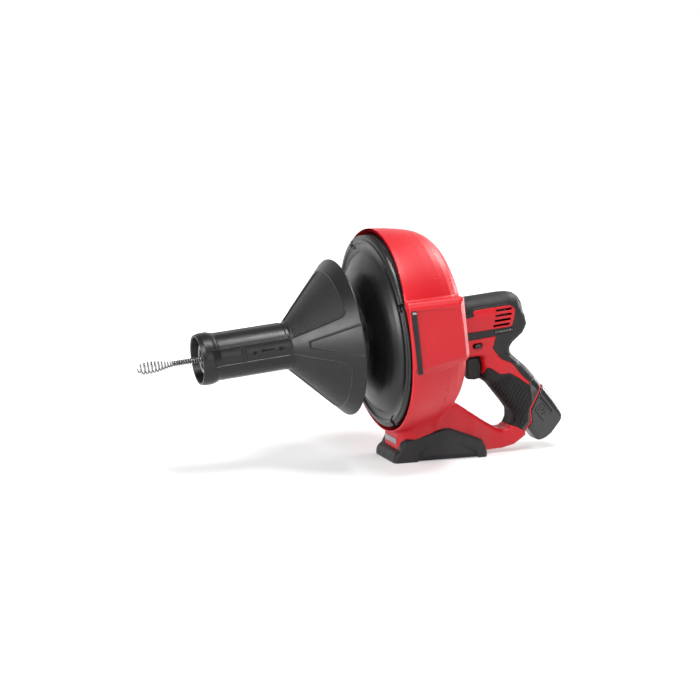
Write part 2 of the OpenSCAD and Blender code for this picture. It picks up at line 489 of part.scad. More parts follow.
// ---- battery
module battery_case() {
  color(blk) G() difference() {
    union() {
      translate([-32, 0, 0]) ax() linear_extrude(height = 70) polygon(rrect(-20.8, 18.8, -15.2, 15.2, 8.5, 5));
      intersection() {
        translate([20, 0, 0]) ax() linear_extrude(height = 69) polygon(rrect(-30.4, 26.2, -batt_hw, batt_hw, 13, 7));
        side([[23.1, 34], [25, 25.5], [39.1, -7.7], [52.5, -16.5], [59.1, -34], [80, -34], [85.5, -24], [88.6, 20], [84, 28], [78, 31], [60, 34]], -40, 40);
      }
    }
    // cell pockets
    translate([-29.6, 0, 8]) ax() cylinder(r = 9.4, h = 67);
    for (s = [-1, 1]) translate([57.5, 9.9*s, -14]) ax() cylinder(r = 9.4, h = 26);
    // latch recesses
    for (s = [0, 1]) mirror([0, s, 0]) box(41.8, 64.2, batt_hw - 4.4, batt_hw + 2, -4.2, 12.2);
  }
}
module battery_cells() {
  color([0.25, 0.45, 0.35]) G() { translate([-28, 0, 8]) ax() cylinder(r = 9.1, h = 65);
    for (s = [-1, 1]) translate([58, 9.9*s, -14]) ax() cylinder(r = 9.1, h = 25); }
}
module latch(s) {
  color(blk) G() mirror([0, s > 0 ? 0 : 1, 0]) difference() {
    box(42.2, 63.8, batt_hw - 1.6, batt_hw + 0.7, -3.8, 11.8);
    for (k = [0:3]) box(46 + 4*k, 47.6 + 4*k, batt_hw + 0.1, batt_hw + 1, -0.8, 8.8);
  }
}
module battery_latch_left() { latch(-1); }
module battery_latch_right() { latch(1); }

drum_shroud();
shroud_side_strips();
left_housing();
right_housing();
motor_overmould();
grip_overmould();
base_boot();
rating_plate();
gauge_window();
housing_screws();
gearcase();
output_bearing();
ring_gear();
motor_can();
motor_magnets();
motor_endcap();
motor_rotor();
motor_pinion();
cooling_fan();
first_carrier();
planet_a1();
planet_a2();
planet_a3();
planet_b1();
planet_b2();
planet_b3();
output_carrier();
drum_rear();
drum_front();
drum_screws();
spout_tube();
cable_guide();
cable_coil();
cable_lead();
auger_head();
chuck_collar();
sleeve_bearings();
funnel_sleeve();
jaw_1();
jaw_2();
jaw_3();
trigger_switch();
trigger();
direction_selector();
control_board();
terminal_block();
motor_leads();
battery_case();
battery_cells();
battery_latch_left();
battery_latch_right();
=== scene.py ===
# Looks for the cordless drum drain snake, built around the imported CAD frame. Metres in Blender, millimetres in the maths.
import math
import time

import bmesh
import bpy
import numpy as np
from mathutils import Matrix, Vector


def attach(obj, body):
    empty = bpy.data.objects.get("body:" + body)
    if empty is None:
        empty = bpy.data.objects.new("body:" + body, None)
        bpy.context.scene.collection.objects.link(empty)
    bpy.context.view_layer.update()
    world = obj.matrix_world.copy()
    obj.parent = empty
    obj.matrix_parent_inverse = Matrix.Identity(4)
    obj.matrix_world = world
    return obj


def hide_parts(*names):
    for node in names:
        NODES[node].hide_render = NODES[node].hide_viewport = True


T0 = time.time()
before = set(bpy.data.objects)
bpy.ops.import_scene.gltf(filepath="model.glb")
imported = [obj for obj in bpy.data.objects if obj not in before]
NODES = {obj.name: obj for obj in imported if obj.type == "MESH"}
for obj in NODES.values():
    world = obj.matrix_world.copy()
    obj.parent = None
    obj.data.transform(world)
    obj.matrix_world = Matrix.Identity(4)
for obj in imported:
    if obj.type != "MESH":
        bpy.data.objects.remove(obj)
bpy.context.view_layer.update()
MM = 0.001
TILT = math.radians(5.9)
CT, ST = math.cos(TILT), math.sin(TILT)
XD, ZD = -86.0, 179.5
GA = math.radians(50)
CG, SG = math.cos(GA), math.sin(GA)
GX, GZ = 124.0, 93.4
F = np.float32


# ------------------------------------------------------------------ frames
def to_t(x, z):
    """part frame (x, z) to drum axis frame"""
    dx, dz = x - XD, z - ZD
    return dx * CT + dz * ST, -dx * ST + dz * CT


def from_t(x, z):
    return XD + x * CT - z * ST, ZD + x * ST + z * CT


def to_g(x, z):
    """part frame (x, z) to grip frame: u down the grip, v towards its back"""
    dx, dz = x - GX, z - GZ
    return dx * CG - dz * SG, dx * SG + dz * CG


def from_g(u, v):
    return GX + u * CG + v * SG, GZ - u * SG + v * CG


def tp(x, y, z):
    """drum axis frame point in mm to a Blender point in metres"""
    a, b = from_t(x, z)
    return (a * MM, y * MM, b * MM)


# ------------------------------------------------------------------ distance functions
def smin(a, b, k):
    h = np.maximum(k - np.abs(a - b), 0) / k
    return np.minimum(a, b) - h * h * (k * 0.25)


def smax(a, b, k):
    h = np.maximum(k - np.abs(a - b), 0) / k
    return np.maximum(a, b) + h * h * (k * 0.25)


def poly(px, pz, pts):
    """signed distance to a closed 2D polygon, negative inside"""
    d = None
    s = np.zeros(px.shape, bool)
    n = len(pts)
    for i in range(n):
        ax, az = pts[i]
        bx, bz = pts[(i + 1) % n]
        ex, ez = bx - ax, bz - az
        wx, wz = px - F(ax), pz - F(az)
        t = np.clip((wx * F(ex) + wz * F(ez)) / F(ex * ex + ez * ez), 0, 1)
        q = (wx - F(ex) * t) ** 2 + (wz - F(ez) * t) ** 2
        d = q if d is None else np.minimum(d, q)
        if ez != 0:
            c = (pz >= min(az, bz)) & (pz < max(az, bz))
            s ^= c & (wx < F(ex / ez) * wz)
    d = np.sqrt(d)
    return np.where(s, -d, d)


def rrect(px, pz, x0, x1, z0, z1, r):
    """signed distance to a rounded rectangle (arrays are allowed for the limits)"""
    qx = np.abs(px - (x0 + x1) * 0.5) - (x1 - x0) * 0.5 + r
    qz = np.abs(pz - (z0 + z1) * 0.5) - (z1 - z0) * 0.5 + r
    return np.minimum(np.maximum(qx, qz), 0) + np.sqrt(np.maximum(qx, 0) ** 2 + np.maximum(qz, 0) ** 2) - r


def seg(px, pz, a, b):
    """distance to a line segment"""
    ex, ez = b[0] - a[0], b[1] - a[1]
    wx, wz = px - a[0], pz - a[1]
    t = np.clip((wx * ex + wz * ez) / (ex * ex + ez * ez), 0, 1)
    return np.sqrt((wx - ex * t) ** 2 + (wz - ez * t) ** 2)


def line_d(px, pz, pts, closed=False):
    d = None
    for i in range(len(pts) - (0 if closed else 1)):
        q = seg(px, pz, pts[i], pts[(i + 1) % len(pts)])
        d = q if d is None else np.minimum(d, q)
    return d


def sstep(t):
    t = np.clip(t, 0, 1)
    return t * t * (3 - 2 * t)


# ------------------------------------------------------------------ surface extraction
def nets(fn, lo, hi, h, lip=1.35):
    """surface nets of fn over a box, evaluated only near the surface, then pulled on to the surface"""
    lo = np.array(lo, float)
    B = 8
    nb = np.maximum(np.ceil((np.array(hi, float) - lo) / (h * B)).astype(int), 1)
    ci = np.stack(np.meshgrid(*[np.arange(n) for n in nb], indexing="ij"), -1).reshape(-1, 3)
    cc = lo + (ci + 0.5) * (B * h)
    fc = ev(fn, cc)
    act = np.abs(fc) < B * h * 0.8661 * lip
    dims = nb * B + 1
    f = np.repeat(np.repeat(np.repeat(np.where(fc < 0, -9, 9).astype(F).reshape(nb), B, 0), B, 1), B, 2)
    f = np.pad(f, ((0, 1), (0, 1), (0, 1)), mode="edge")
    off = np.stack(np.meshgrid(*[np.arange(B + 1)] * 3, indexing="ij"), -1).reshape(-1, 3)
    bl = ci[act]
    for k in range(0, len(bl), 2500):
        gi = (bl[k:k + 2500, None, :] * B + off[None]).reshape(-1, 3)
        f[gi[:, 0], gi[:, 1], gi[:, 2]] = ev(fn, lo + gi * h)
    s = f < 0
    cnt = np.zeros(tuple(dims - 1), np.int8)
    for a in (0, 1):
        for b in (0, 1):
            for c in (0, 1):
                cnt += s[a:dims[0] - 1 + a, b:dims[1] - 1 + b, c:dims[2] - 1 + c]
    cells = np.argwhere((cnt > 0) & (cnt < 8))
    idx = np.full(tuple(dims - 1), -1, np.int32)
    idx[cells[:, 0], cells[:, 1], cells[:, 2]] = np.arange(len(cells))
    P = np.zeros((len(cells), 3))
    W = np.zeros(len(cells))
    cor = [(a, b, c) for a in (0, 1) for b in (0, 1) for c in (0, 1)]
    for a in cor:
        for ax in range(3):
            if a[ax]:
                continue
            b = list(a)
            b[ax] = 1
            fa = f[cells[:, 0] + a[0], cells[:, 1] + a[1], cells[:, 2] + a[2]]
            fb = f[cells[:, 0] + b[0], cells[:, 1] + b[1], cells[:, 2] + b[2]]
            m = (fa < 0) != (fb < 0)
            t = fa[m] / (fa[m] - fb[m])
            q = np.tile(np.array(a, float), (m.sum(), 1))
            q[:, ax] += t
            P[m] += q
            W[m] += 1
    V = lo + (cells + P / W[:, None]) * h
    quads = []
    for ax in range(3):
        u, v = (ax + 1) % 3, (ax + 2) % 3
        sl0 = [slice(None)] * 3
        sl1 = [slice(None)] * 3
        sl0[ax] = slice(0, -1)
        sl1[ax] = slice(1, None)
        d = s[tuple(sl0)] != s[tuple(sl1)]
        e = np.argwhere(d)
        ok = (e[:, u] > 0) & (e[:, v] > 0) & (e[:, u] < dims[u] - 1) & (e[:, v] < dims[v] - 1)
        e = e[ok]
        inside = s[e[:, 0], e[:, 1], e[:, 2]]
        q = []
        for (du, dv) in ((-1, -1), (0, -1), (0, 0), (-1, 0)):
            c = e.copy()
            c[:, u] += du
            c[:, v] += dv
            q.append(idx[c[:, 0], c[:, 1], c[:, 2]])
        q = np.stack(q, 1)
        q[~inside] = q[~inside][:, ::-1]
        quads.append(q)
    Q = np.concatenate(quads)
    # even out, then pull on to the surface
    V = relax(fn, V, Q, h)
    return V, Q


def ev(fn, P):
    out = np.empty(len(P), F)
    for k in range(0, len(P), 1500000):
        q = P[k:k + 1500000].astype(F)
        out[k:k + 1500000] = fn(q[:, 0], q[:, 1], q[:, 2])
    return out


def grad(fn, V, e):
    g = np.zeros_like(V)
    for ax in range(3):
        d = np.zeros(3)
        d[ax] = e
        g[:, ax] = (ev(fn, V + d) - ev(fn, V - d)) / (2 * e)
    return g


def relax(fn, V, Q, h):
    n = len(V)
    E = np.concatenate([Q[:, [0, 1]], Q[:, [1, 2]], Q[:, [2, 3]], Q[:, [3, 0]]])
    for it in range(2):
        g = grad(fn, V, 0.25 * h)
        L = np.maximum((g * g).sum(1), 0.05)
        d = ev(fn, V)
        step = g * (d / L)[:, None]
        ln = np.linalg.norm(step, axis=1)
        step *= np.minimum(1, 0.7 * h / np.maximum(ln, 1e-9))[:, None]
        V = V - step
        if it == 0:
            g /= np.maximum(np.linalg.norm(g, axis=1), 1e-9)[:, None]
            S = np.zeros_like(V)
            c = np.zeros(n)
            for a, b in ((0, 1), (1, 0)):
                for k in range(3):
                    S[:, k] += np.bincount(E[:, a], weights=V[E[:, b], k], minlength=n)
                c += np.bincount(E[:, a], minlength=n)
            m = S / np.maximum(c, 1)[:, None] - V
            m -= g * (m * g).sum(1)[:, None]
            V = V + 0.6 * m
    return V


# ------------------------------------------------------------------ mesh helpers
def mesh_obj(name, V, faces, smooth=True):
    me = bpy.data.meshes.new(name)
    V = np.asarray(V, float) * MM
    if isinstance(faces, np.ndarray) and faces.ndim == 2:
        nf, k = faces.shape
        me.vertices.add(len(V))
        me.vertices.foreach_set("co", V.astype(F).ravel())
        me.loops.add(nf * k)
        me.loops.foreach_set("vertex_index", faces.astype(np.int32).ravel())
        me.polygons.add(nf)
        me.polygons.foreach_set("loop_start", np.arange(0, nf * k, k, dtype=np.int32))
        me.update(calc_edges=True)
        me.validate()
    else:
        me.from_pydata([tuple(v) for v in V], [], [tuple(f) for f in faces])
        me.update()
    if smooth:
        me.polygons.foreach_set("use_smooth", np.ones(len(me.polygons), bool))
    ob = bpy.data.objects.new(name, me)
    bpy.context.scene.collection.objects.link(ob)
    return ob


def t_points(P):
    """rows of (x', y, z') in the drum axis frame to part frame"""
    x, z = from_t(P[:, 0], P[:, 2])
    return np.stack([x, P[:, 1], z], 1)


def grid_faces(nu, nv, wrap_v=True, wrap_u=False, flip=False):
    """quads of a grid with index i * nv + j"""
    iu = np.arange(nu if wrap_u else nu - 1)
    jv = np.arange(nv if wrap_v else nv - 1)
    I, J = np.meshgrid(iu, jv, indexing="ij")
    I2, J2 = (I + 1) % nu, (J + 1) % nv
    q = np.stack([I * nv + J, I * nv + J2, I2 * nv + J2, I2 * nv + J], -1).reshape(-1, 4)
    return q[:, ::-1] if flip else q


def resample(pts, step, closed=False):
    """points along a polyline at about an even step, keeping its corners"""
    out = []
    n = len(pts)
    for i in range(n if closed else n - 1):
        a, b = np.array(pts[i], float), np.array(pts[(i + 1) % n], float)
        k = max(1, int(round(np.linalg.norm(b - a) / step)))
        for j in range(k):
            out.append(a + (b - a) * j / k)
    if not closed:
        out.append(np.array(pts[-1], float))
    return np.array(out)


def fillet(pts, r, n=5, closed=True):
    """rounds the corners of a polyline; r is one radius or one for each corner"""
    pts = [np.array(p, float) for p in pts]
    m = len(pts)
    out = []
    for i in range(m):
        ri = r[i] if isinstance(r, (list, tuple)) else r
        if (not closed and i in (0, m - 1)) or ri <= 0:
            out.append(pts[i])
            continue
        p, a, b = pts[i], pts[i - 1], pts[(i + 1) % m]
        u, w = a - p, b - p
        lu, lw = np.linalg.norm(u), np.linalg.norm(w)
        u, w = u / lu, w / lw
        ang = math.acos(max(-1, min(1, float(u @ w))))
        if ang > math.pi - 0.02:
            out.append(p)
            continue
        t = min(ri / math.tan(ang / 2), 0.48 * lu, 0.48 * lw)
        rr = t * math.tan(ang / 2)
        bis = (u + w) / np.linalg.norm(u + w)
        c = p + bis * (rr / math.sin(ang / 2))
        s, e = p + u * t - c, p + w * t - c
        a0, a1 = math.atan2(s[1], s[0]), math.atan2(e[1], e[0])
        da = (a1 - a0 + math.pi) % (2 * math.pi) - math.pi
        for j in range(n + 1):
            q = a0 + da * j / n
            out.append(c + rr * np.array([math.cos(q), math.sin(q)]))
    return np.array(out)


# ------------------------------------------------------------------ node material helpers
class Mat:
    def __init__(self, name):
        self.m = bpy.data.materials.new(name)
        self.m.use_nodes = True
        self.t = self.m.node_tree
        self.b = self.t.nodes["Principled BSDF"]
        self.geo = None

    def node(self, kind, **kw):
        n = self.t.nodes.new(kind)
        for k, v in kw.items():
            if k.startswith("i_"):
                n.inputs[k[2:].replace("_", " ")].default_value = v
            else:
                setattr(n, k, v)
        return n

    def link(self, a, b):
        self.t.links.new(a, b)

    def coord(self, scale=(1, 1, 1), rot=(0, 0, 0)):
        tc = self.node("ShaderNodeTexCoord")
        mp = self.node("ShaderNodeMapping")
        mp.inputs["Scale"].default_value = scale
        mp.inputs["Rotation"].default_value = rot
        self.link(tc.outputs["Object"], mp.inputs["Vector"])
        return mp.outputs["Vector"]

    def noise(self, scale, detail=2.0, rough=0.5, vec=None):
        n = self.node("ShaderNodeTexNoise")
        n.inputs["Scale"].default_value = scale
        n.inputs["Detail"].default_value = detail
        n.inputs["Roughness"].default_value = rough
        self.link(vec if vec is not None else self.coord(), n.inputs["Vector"])
        return n.outputs["Fac"]

    def voronoi(self, scale, feature="F1", vec=None, out="Distance", rand=1.0):
        n = self.node("ShaderNodeTexVoronoi", feature=feature)
        n.inputs["Scale"].default_value = scale
        n.inputs["Randomness"].default_value = rand
        self.link(vec if vec is not None else self.coord(), n.inputs["Vector"])
        return n.outputs[out]

    def ramp(self, src, a, b, lo, hi):
        n = self.node("ShaderNodeMapRange")
        n.inputs["From Min"].default_value = a
        n.inputs["From Max"].default_value = b
        n.inputs["To Min"].default_value = lo
        n.inputs["To Max"].default_value = hi
        self.link(src, n.inputs["Value"])
        return n.outputs["Result"]

    def math(self, op, a, b=None, c=None):
        n = self.node("ShaderNodeMath", operation=op)
        for k, v in enumerate((a, b, c)):
            if v is None:
                continue
            if isinstance(v, (int, float)):
                n.inputs[k].default_value = v
            else:
                self.link(v, n.inputs[k])
        return n.outputs[0]

    def mix(self, fac, a, b):
        n = self.node("ShaderNodeMix", data_type="RGBA")
        if isinstance(fac, (int, float)):
            n.inputs[0].default_value = fac
        else:
            self.link(fac, n.inputs[0])
        for k, v in ((6, a), (7, b)):
            if isinstance(v, tuple):
                n.inputs[k].default_value = (*v, 1)
            else:
                self.link(v, n.inputs[k])
        return n.outputs[2]

    def bump(self, height, strength, dist, normal=None):
        n = self.node("ShaderNodeBump")
        n.inputs["Strength"].default_value = strength
        n.inputs["Distance"].default_value = dist
        self.link(height, n.inputs["Height"])
        if normal is not None:
            self.link(normal, n.inputs["Normal"])
        return n.outputs["Normal"]

    def pointiness(self):
        """edge mask: high on worn convex edges, from the mesh's own curvature"""
        g = self.node("ShaderNodeNewGeometry")
        return g.outputs["Pointiness"]

    def set(self, **kw):
        for k, v in kw.items():
            self.b.inputs[k.replace("_", " ")].default_value = v


def plastic(name, base, dark, light, rough=(0.36, 0.46), grain=900.0, grain_amt=0.03, spec=0.5, coat=0.0, mottled=7.0,
            edge=None, scuff=True):
    """moulded plastic: slow colour drift, fine spark-eroded grain, faint scuffs and lighter worn edges"""
    m = Mat(name)
    slow = m.noise(mottled, 3.0, 0.55)
    col = m.mix(m.ramp(slow, 0.3, 0.7, 0.0, 1.0), dark, light)
    fine = m.noise(260.0, 2.0, 0.6)
    col = m.mix(m.ramp(fine, 0.35, 0.65, 0.0, 0.18), col, base)
    if edge is not None:
        e = m.ramp(m.pointiness(), 0.53, 0.60, 0.0, 0.55)
        col = m.mix(e, col, edge)
    m.link(col, m.b.inputs["Base Color"])
    r = m.noise(38.0, 4.0, 0.6)
    rr = m.ramp(r, 0.3, 0.7, rough[0], rough[1])
    if scuff:
        v = m.coord(scale=(9.0, 60.0, 60.0), rot=(0.3, 0.5, 0.9))
        sc = m.noise(14.0, 5.0, 0.75, vec=v)
        rr = m.math("ADD", rr, m.ramp(sc, 0.62, 0.74, 0.0, 0.09))
    m.link(rr, m.b.inputs["Roughness"])
    g = m.noise(grain, 2.0, 0.7)
    g2 = m.voronoi(grain * 0.8)
    h = m.math("ADD", g, m.math("MULTIPLY", g2, 0.6))
    m.link(m.bump(h, 0.35, grain_amt * 0.001), m.b.inputs["Normal"])
    m.set(Specular_IOR_Level=spec, Coat_Weight=coat)
    return m


def rubber(name, dark, light, rough=(0.55, 0.72), grain=700.0, amt=0.05):
    m = Mat(name)
    slow = m.noise(16.0, 4.0, 0.6)
    col = m.mix(m.ramp(slow, 0.3, 0.7, 0.0, 1.0), dark, light)
    dust = m.noise(120.0, 5.0, 0.7)
    col = m.mix(m.ramp(dust, 0.58, 0.75, 0.0, 0.16), col, tuple(min(1, c * 1.9 + 0.02) for c in light))
    e = m.ramp(m.pointiness(), 0.53, 0.62, 0.0, 0.5)
    col = m.mix(e, col, tuple(min(1, c * 1.9 + 0.01) for c in light))
    m.link(col, m.b.inputs["Base Color"])
    r = m.noise(55.0, 3.0, 0.6)
    m.link(m.ramp(r, 0.3, 0.7, rough[0], rough[1]), m.b.inputs["Roughness"])
    g = m.noise(grain, 3.0, 0.7)
    m.link(m.bump(g, 0.4, amt * 0.001), m.b.inputs["Normal"])
    m.set(Specular_IOR_Level=0.30)
    return m


def metal(name, col, col2, rough=(0.22, 0.4), axis_scale=(400, 40, 400), amt=0.01, metallic=1.0, grime=None):
    m = Mat(name)
    v = m.coord(scale=axis_scale)
    br = m.noise(1.0, 4.0, 0.6, vec=v)
    slow = m.noise(60.0, 4.0, 0.6)
    c = m.mix(m.ramp(slow, 0.3, 0.7, 0.0, 1.0), col, col2)
    if grime is not None:
        gr = m.noise(140.0, 5.0, 0.7)
        c = m.mix(m.ramp(gr, 0.5, 0.72, 0.0, 0.6), c, grime)
    m.link(c, m.b.inputs["Base Color"])
    m.link(m.ramp(br, 0.3, 0.7, rough[0], rough[1]), m.b.inputs["Roughness"])
    m.link(m.bump(br, 0.3, amt * 0.001), m.b.inputs["Normal"])
    m.set(Metallic=metallic)
    return m


RED = plastic("shell_red_satin", (0.52, 0.0085, 0.0155), (0.475, 0.007, 0.0135), (0.565, 0.0105, 0.0185), rough=(0.36, 0.44),
              grain=1100.0, grain_amt=0.02, spec=0.36, edge=(0.66, 0.04, 0.05))
DRUM = plastic("drum_black_plastic", (0.008, 0.008, 0.0083), (0.006, 0.006, 0.0063), (0.011, 0.011, 0.0113), rough=(0.29, 0.38),
               grain=900.0, grain_amt=0.03, spec=0.5, edge=(0.05, 0.05, 0.05))
SLEEVE = plastic("sleeve_black_plastic", (0.010, 0.010, 0.0103), (0.008, 0.008, 0.0083), (0.013, 0.013, 0.0133), rough=(0.31, 0.40),
                 grain=800.0, grain_amt=0.03, spec=0.36, edge=(0.07, 0.07, 0.07))
BATT = plastic("battery_black_plastic", (0.013, 0.0125, 0.013), (0.010, 0.0097, 0.010), (0.017, 0.0165, 0.017), rough=(0.24, 0.33),
               grain=900.0, grain_amt=0.02, spec=0.75, edge=(0.09, 0.09, 0.09))
CHAR = rubber("overmould_charcoal", (0.014, 0.0143, 0.0148), (0.020, 0.0203, 0.021), rough=(0.42, 0.56))
GRIP = rubber("grip_rubber", (0.010, 0.0098, 0.0098), (0.015, 0.0147, 0.0147), rough=(0.55, 0.72))
BOOT = rubber("boot_rubber", (0.017, 0.0168, 0.018), (0.025, 0.0245, 0.026), rough=(0.40, 0.54))
STEEL = metal("machined_steel", (0.55, 0.55, 0.56), (0.45, 0.45, 0.46))
DARKST = metal("blackened_steel", (0.035, 0.035, 0.037), (0.025, 0.025, 0.027), rough=(0.4, 0.55))
CABLE = metal("wound_cable_steel", (0.30, 0.297, 0.29), (0.19, 0.187, 0.18), rough=(0.18, 0.32), axis_scale=(300, 300, 300),
              grime=(0.10, 0.09, 0.08))
ZINC = metal("die_cast_alloy", (0.42, 0.43, 0.44), (0.34, 0.35, 0.36), rough=(0.4, 0.55), axis_scale=(120, 120, 120), amt=0.03)
PLATE = metal("blank_plate", (0.42, 0.42, 0.44), (0.34, 0.34, 0.36), rough=(0.35, 0.5), axis_scale=(60, 600, 600))
COPPER = metal("winding_copper", (0.72, 0.36, 0.18), (0.60, 0.28, 0.14), rough=(0.3, 0.5), axis_scale=(900, 200, 200), amt=0.05)
BOARD = plastic("circuit_board", (0.03, 0.13, 0.06), (0.02, 0.10, 0.045), (0.04, 0.16, 0.07), rough=(0.25, 0.35))
CELL = plastic("cell_sleeve", (0.06, 0.22, 0.14), (0.05, 0.18, 0.11), (0.08, 0.26, 0.17), rough=(0.2, 0.3))
LENS = plastic("gauge_lens", (0.030, 0.030, 0.032), (0.026, 0.026, 0.028), (0.036, 0.036, 0.038), rough=(0.16, 0.24), grain=400, grain_amt=0.005)
LEAD = rubber("lead_insulation", (0.02, 0.02, 0.02), (0.03, 0.03, 0.03))
LAMP = plastic("gauge_lamp", (0.42, 0.43, 0.45), (0.36, 0.37, 0.39), (0.5, 0.51, 0.53), rough=(0.15, 0.22), grain=300, grain_amt=0.004)


def sleeve_finish(m):
    """stippled panels are rougher and dimpled, sunk marks are black"""
    st = m.node("ShaderNodeAttribute", attribute_name="stipple")
    ink = m.node("ShaderNodeAttribute", attribute_name="ink")
    b = m.b
    base = b.inputs["Base Color"].links[0].from_socket
    c = m.mix(m.math("MULTIPLY", ink.outputs["Fac"], 0.9), base, (0.003, 0.003, 0.003))
    m.link(c, b.inputs["Base Color"])
    r0 = b.inputs["Roughness"].links[0].from_socket
    rr = m.math("ADD", r0, m.math("MULTIPLY", st.outputs["Fac"], 0.10))
    m.link(m.math("ADD", rr, m.math("MULTIPLY", ink.outputs["Fac"], 0.45)), b.inputs["Roughness"])
    v = m.voronoi(620.0, out="Distance")
    v2 = m.noise(900.0, 2.0, 0.6)
    h = m.math("MULTIPLY", m.math("ADD", v, m.math("MULTIPLY", v2, 0.8)), st.outputs["Fac"])
    old = b.inputs["Normal"].links[0].from_socket
    m.link(m.bump(h, 0.75, 0.0006, old), b.inputs["Normal"])


sleeve_finish(SLEEVE)


def dress(ob, mat):
    ob.data.materials.clear()
    ob.data.materials.append(mat.m)
    return ob


def dress_node(name, mat):
    me = NODES[name].data
    me.materials.clear()
    me.materials.append(mat.m)


# ------------------------------------------------------------------ red shroud and tool housing, one smooth body cut into pieces
RING_OUT = [(-60, 0), (139.2, 0), (141.0, 1.8), (141.3, 5), (141.0, 12), (140.2, 20), (138.6, 32), (136.2, 46), (133.4, 59), (130.0, 69.5),
            (124.6, 79.0), (117.5, 86.0), (109, 90.2), (99, 92.2), (60, 92.5), (-60, 92.5)]
RING_IN = [(-60, -9), (138.4, -9), (138.4, 2), (138.0, 14), (132.7, 54), (128.9, 65.6), (124.9, 73.2), (119, 80.4), (110.5, 86.1),
           (99.4, 89.5), (-60, 89.5)]
WING = [(1.0, 56.0), (82, 52.5), (83.5, -24.5), (77.0, -33.5), (6.0, -45.0), (1.0, -44.0)]
PANEL = [(12.6, 45.2), (66.0, 41.2), (73.0, 33.5), (76.4, -24.2), (72.5, -27.6), (13.5, -39.5)]
BODY = [(90, 6), (199, 6), (210.5, 2), (217.3, -6), (219.9, -19), (216.4, -26), (212.4, -32), (204.4, -38.2), (197.6, -43), (193.0, -49), (191.4, -56),
        (194.8, -66.5), (200, -72), (180, -96), (153, -90.6), (149.8, -88), (151, -75), (150, -58), (146, -56), (90, -54)]
BARREL = [(-40, 88), (28.3, 88), (28.3, 188), (27.4, 199), (25.2, 207.4), (21.5, 213.2), (15, 217.4), (6, 219.5), (-40, 219.7)]
BAR = [(-41.5, 5), (-41.5, 45), (-20, 78), (24, 78), (42.9, 65.6), (67.6, 49.8), (92.5, 35.2), (101.8, 32.9), (108, 33.9), (114.2, 37.9),
       (118, 44.9), (118.7, 51.9), (124, 66), (150, 46), (147.3, 24.0), (137.1, 21.0), (120.2, 9.6), (101.7, 5.4), (83, 5.0)]
FOOT_ZONE = [(22.5, 34), (24.4, 25.5), (38.5, -8.1), (52, -16.9), (58.5, -34), (120, -60), (120, 60), (20, 60)]


def wing_d(tx, y, tz):
    ay = np.abs(y)
    a = poly(tx, tz, WING)
    b = ay - 141.3
    # the rear edge is a broad chamfer, the top and the lower edges narrow ones
    c = (tx - 82.5) * 0.66 + (ay - 133.0) * 0.75
    top = (tz - 54.5 + tx * 0.035) * 0.60 + (ay - 136.5) * 0.80
    low = (-tz - 38.0 + tx * 0.12) * 0.62 + (ay - 136.5) * 0.785
    d = smax(smax(a, b, 1.6), 100 - ay, 1.0)
    d = smax(smax(d, c, 1.2), top, 1.4)
    return smax(d, low, 1.4)


def ring_outer_d(tx, y, tz):
    return poly(np.sqrt(y * y + tz * tz), tx, RING_OUT)


def shroud_mass(x, y, z):
    tx, tz = to_t(x, z)
    ring = ring_outer_d(tx, y, tz)
    return smin(ring, wing_d(tx, y, tz), 3.5)


def half_width(x):
    return np.interp(x, [-45, 30, 52, 66, 84, 100, 200], [34.5, 33.6, 32.2, 27.5, 20.6, 19.3, 19.3]).astype(F)


def base_mass(x, y, z):
    """pedestal, base and bar"""
    ay = np.abs(y)
    bar = smax(poly(x, z, BAR), ay - half_width(x), 7.0)
    flare = half_width(x) + np.clip((z - 26) * 0.10, 0, 3.0)
    bar = np.where(x < 40, smax(poly(x, z, BAR), ay - flare.astype(F), 6.0), bar)
    ped = smax(rrect(x, ay, F(-61.0), F(-20), F(-60), F(35.6), F(15.0)), 15.9 - z, 1.0)
    ped = smax(ped, z - 70, 2)
    return smin(bar, ped, 4.0)


def grip_hw(u):
    return 18.9 + 3.6 * sstep((u - 6) / 22.0) - 0.9 * sstep((u + 50) / 22.0) * (1 - sstep((u + 8) / 20.0))


def handle_d(x, y, z, grow=0.0):
    gu, gv = to_g(x, z)
    hw = grip_hw(gu)
    back = (29.6 + grow - 6.5 * sstep((-2 - gu) / 46.0)).astype(F)
    d = rrect(gv, y, F(-28.6 - grow), back, -hw - grow, hw + grow, F(14.5))
    return smax(d, -48 - gu, 6.0)


def tool_mass(x, y, z):
    tx, tz = to_t(x, z)
    ay = np.abs(y)
    barrel = poly(np.sqrt(y * y + tz * tz), tx, BARREL)
    w = np.interp(tz, [-110, -74, -56, -30, 0, 30], [18.0, 18.2, 20.0, 24.6, 26.5, 26.5]).astype(F)
    body = smax(poly(tx, tz, BODY), ay - w, 9.0)
    d = smin(barrel, body, 6.0)
    h = handle_d(x, y, z)
    h = smax(h, tx - 400, 1.0)
    h = np.maximum(h, tz + 46)
    return smin(d, h, 9.0)


def all_red(x, y, z):
    sh = shroud_mass(x, y, z)
    base = base_mass(x, y, z)
    tool = tool_mass(x, y, z)
    tx, tz = to_t(x, z)
    k = (5.0 + 27.0 * sstep((tx - 6) / 26.0) * (1 - sstep((tx - 52) / 26.0))).astype(F)
    d = smax(smin(sh, base, k), F(-0.2) - tx, 0.8)
    return smin(d, tool, 7.0), sh


def shroud_region(x, y, z, sh):
    """what belongs to the shroud piece: the ring, its wings and the pedestal"""
    tx, tz = to_t(x, z)
    near = sh - 2.2
    ped = np.maximum(x + 40.6, -(z - 0))
    return np.minimum(near, ped)


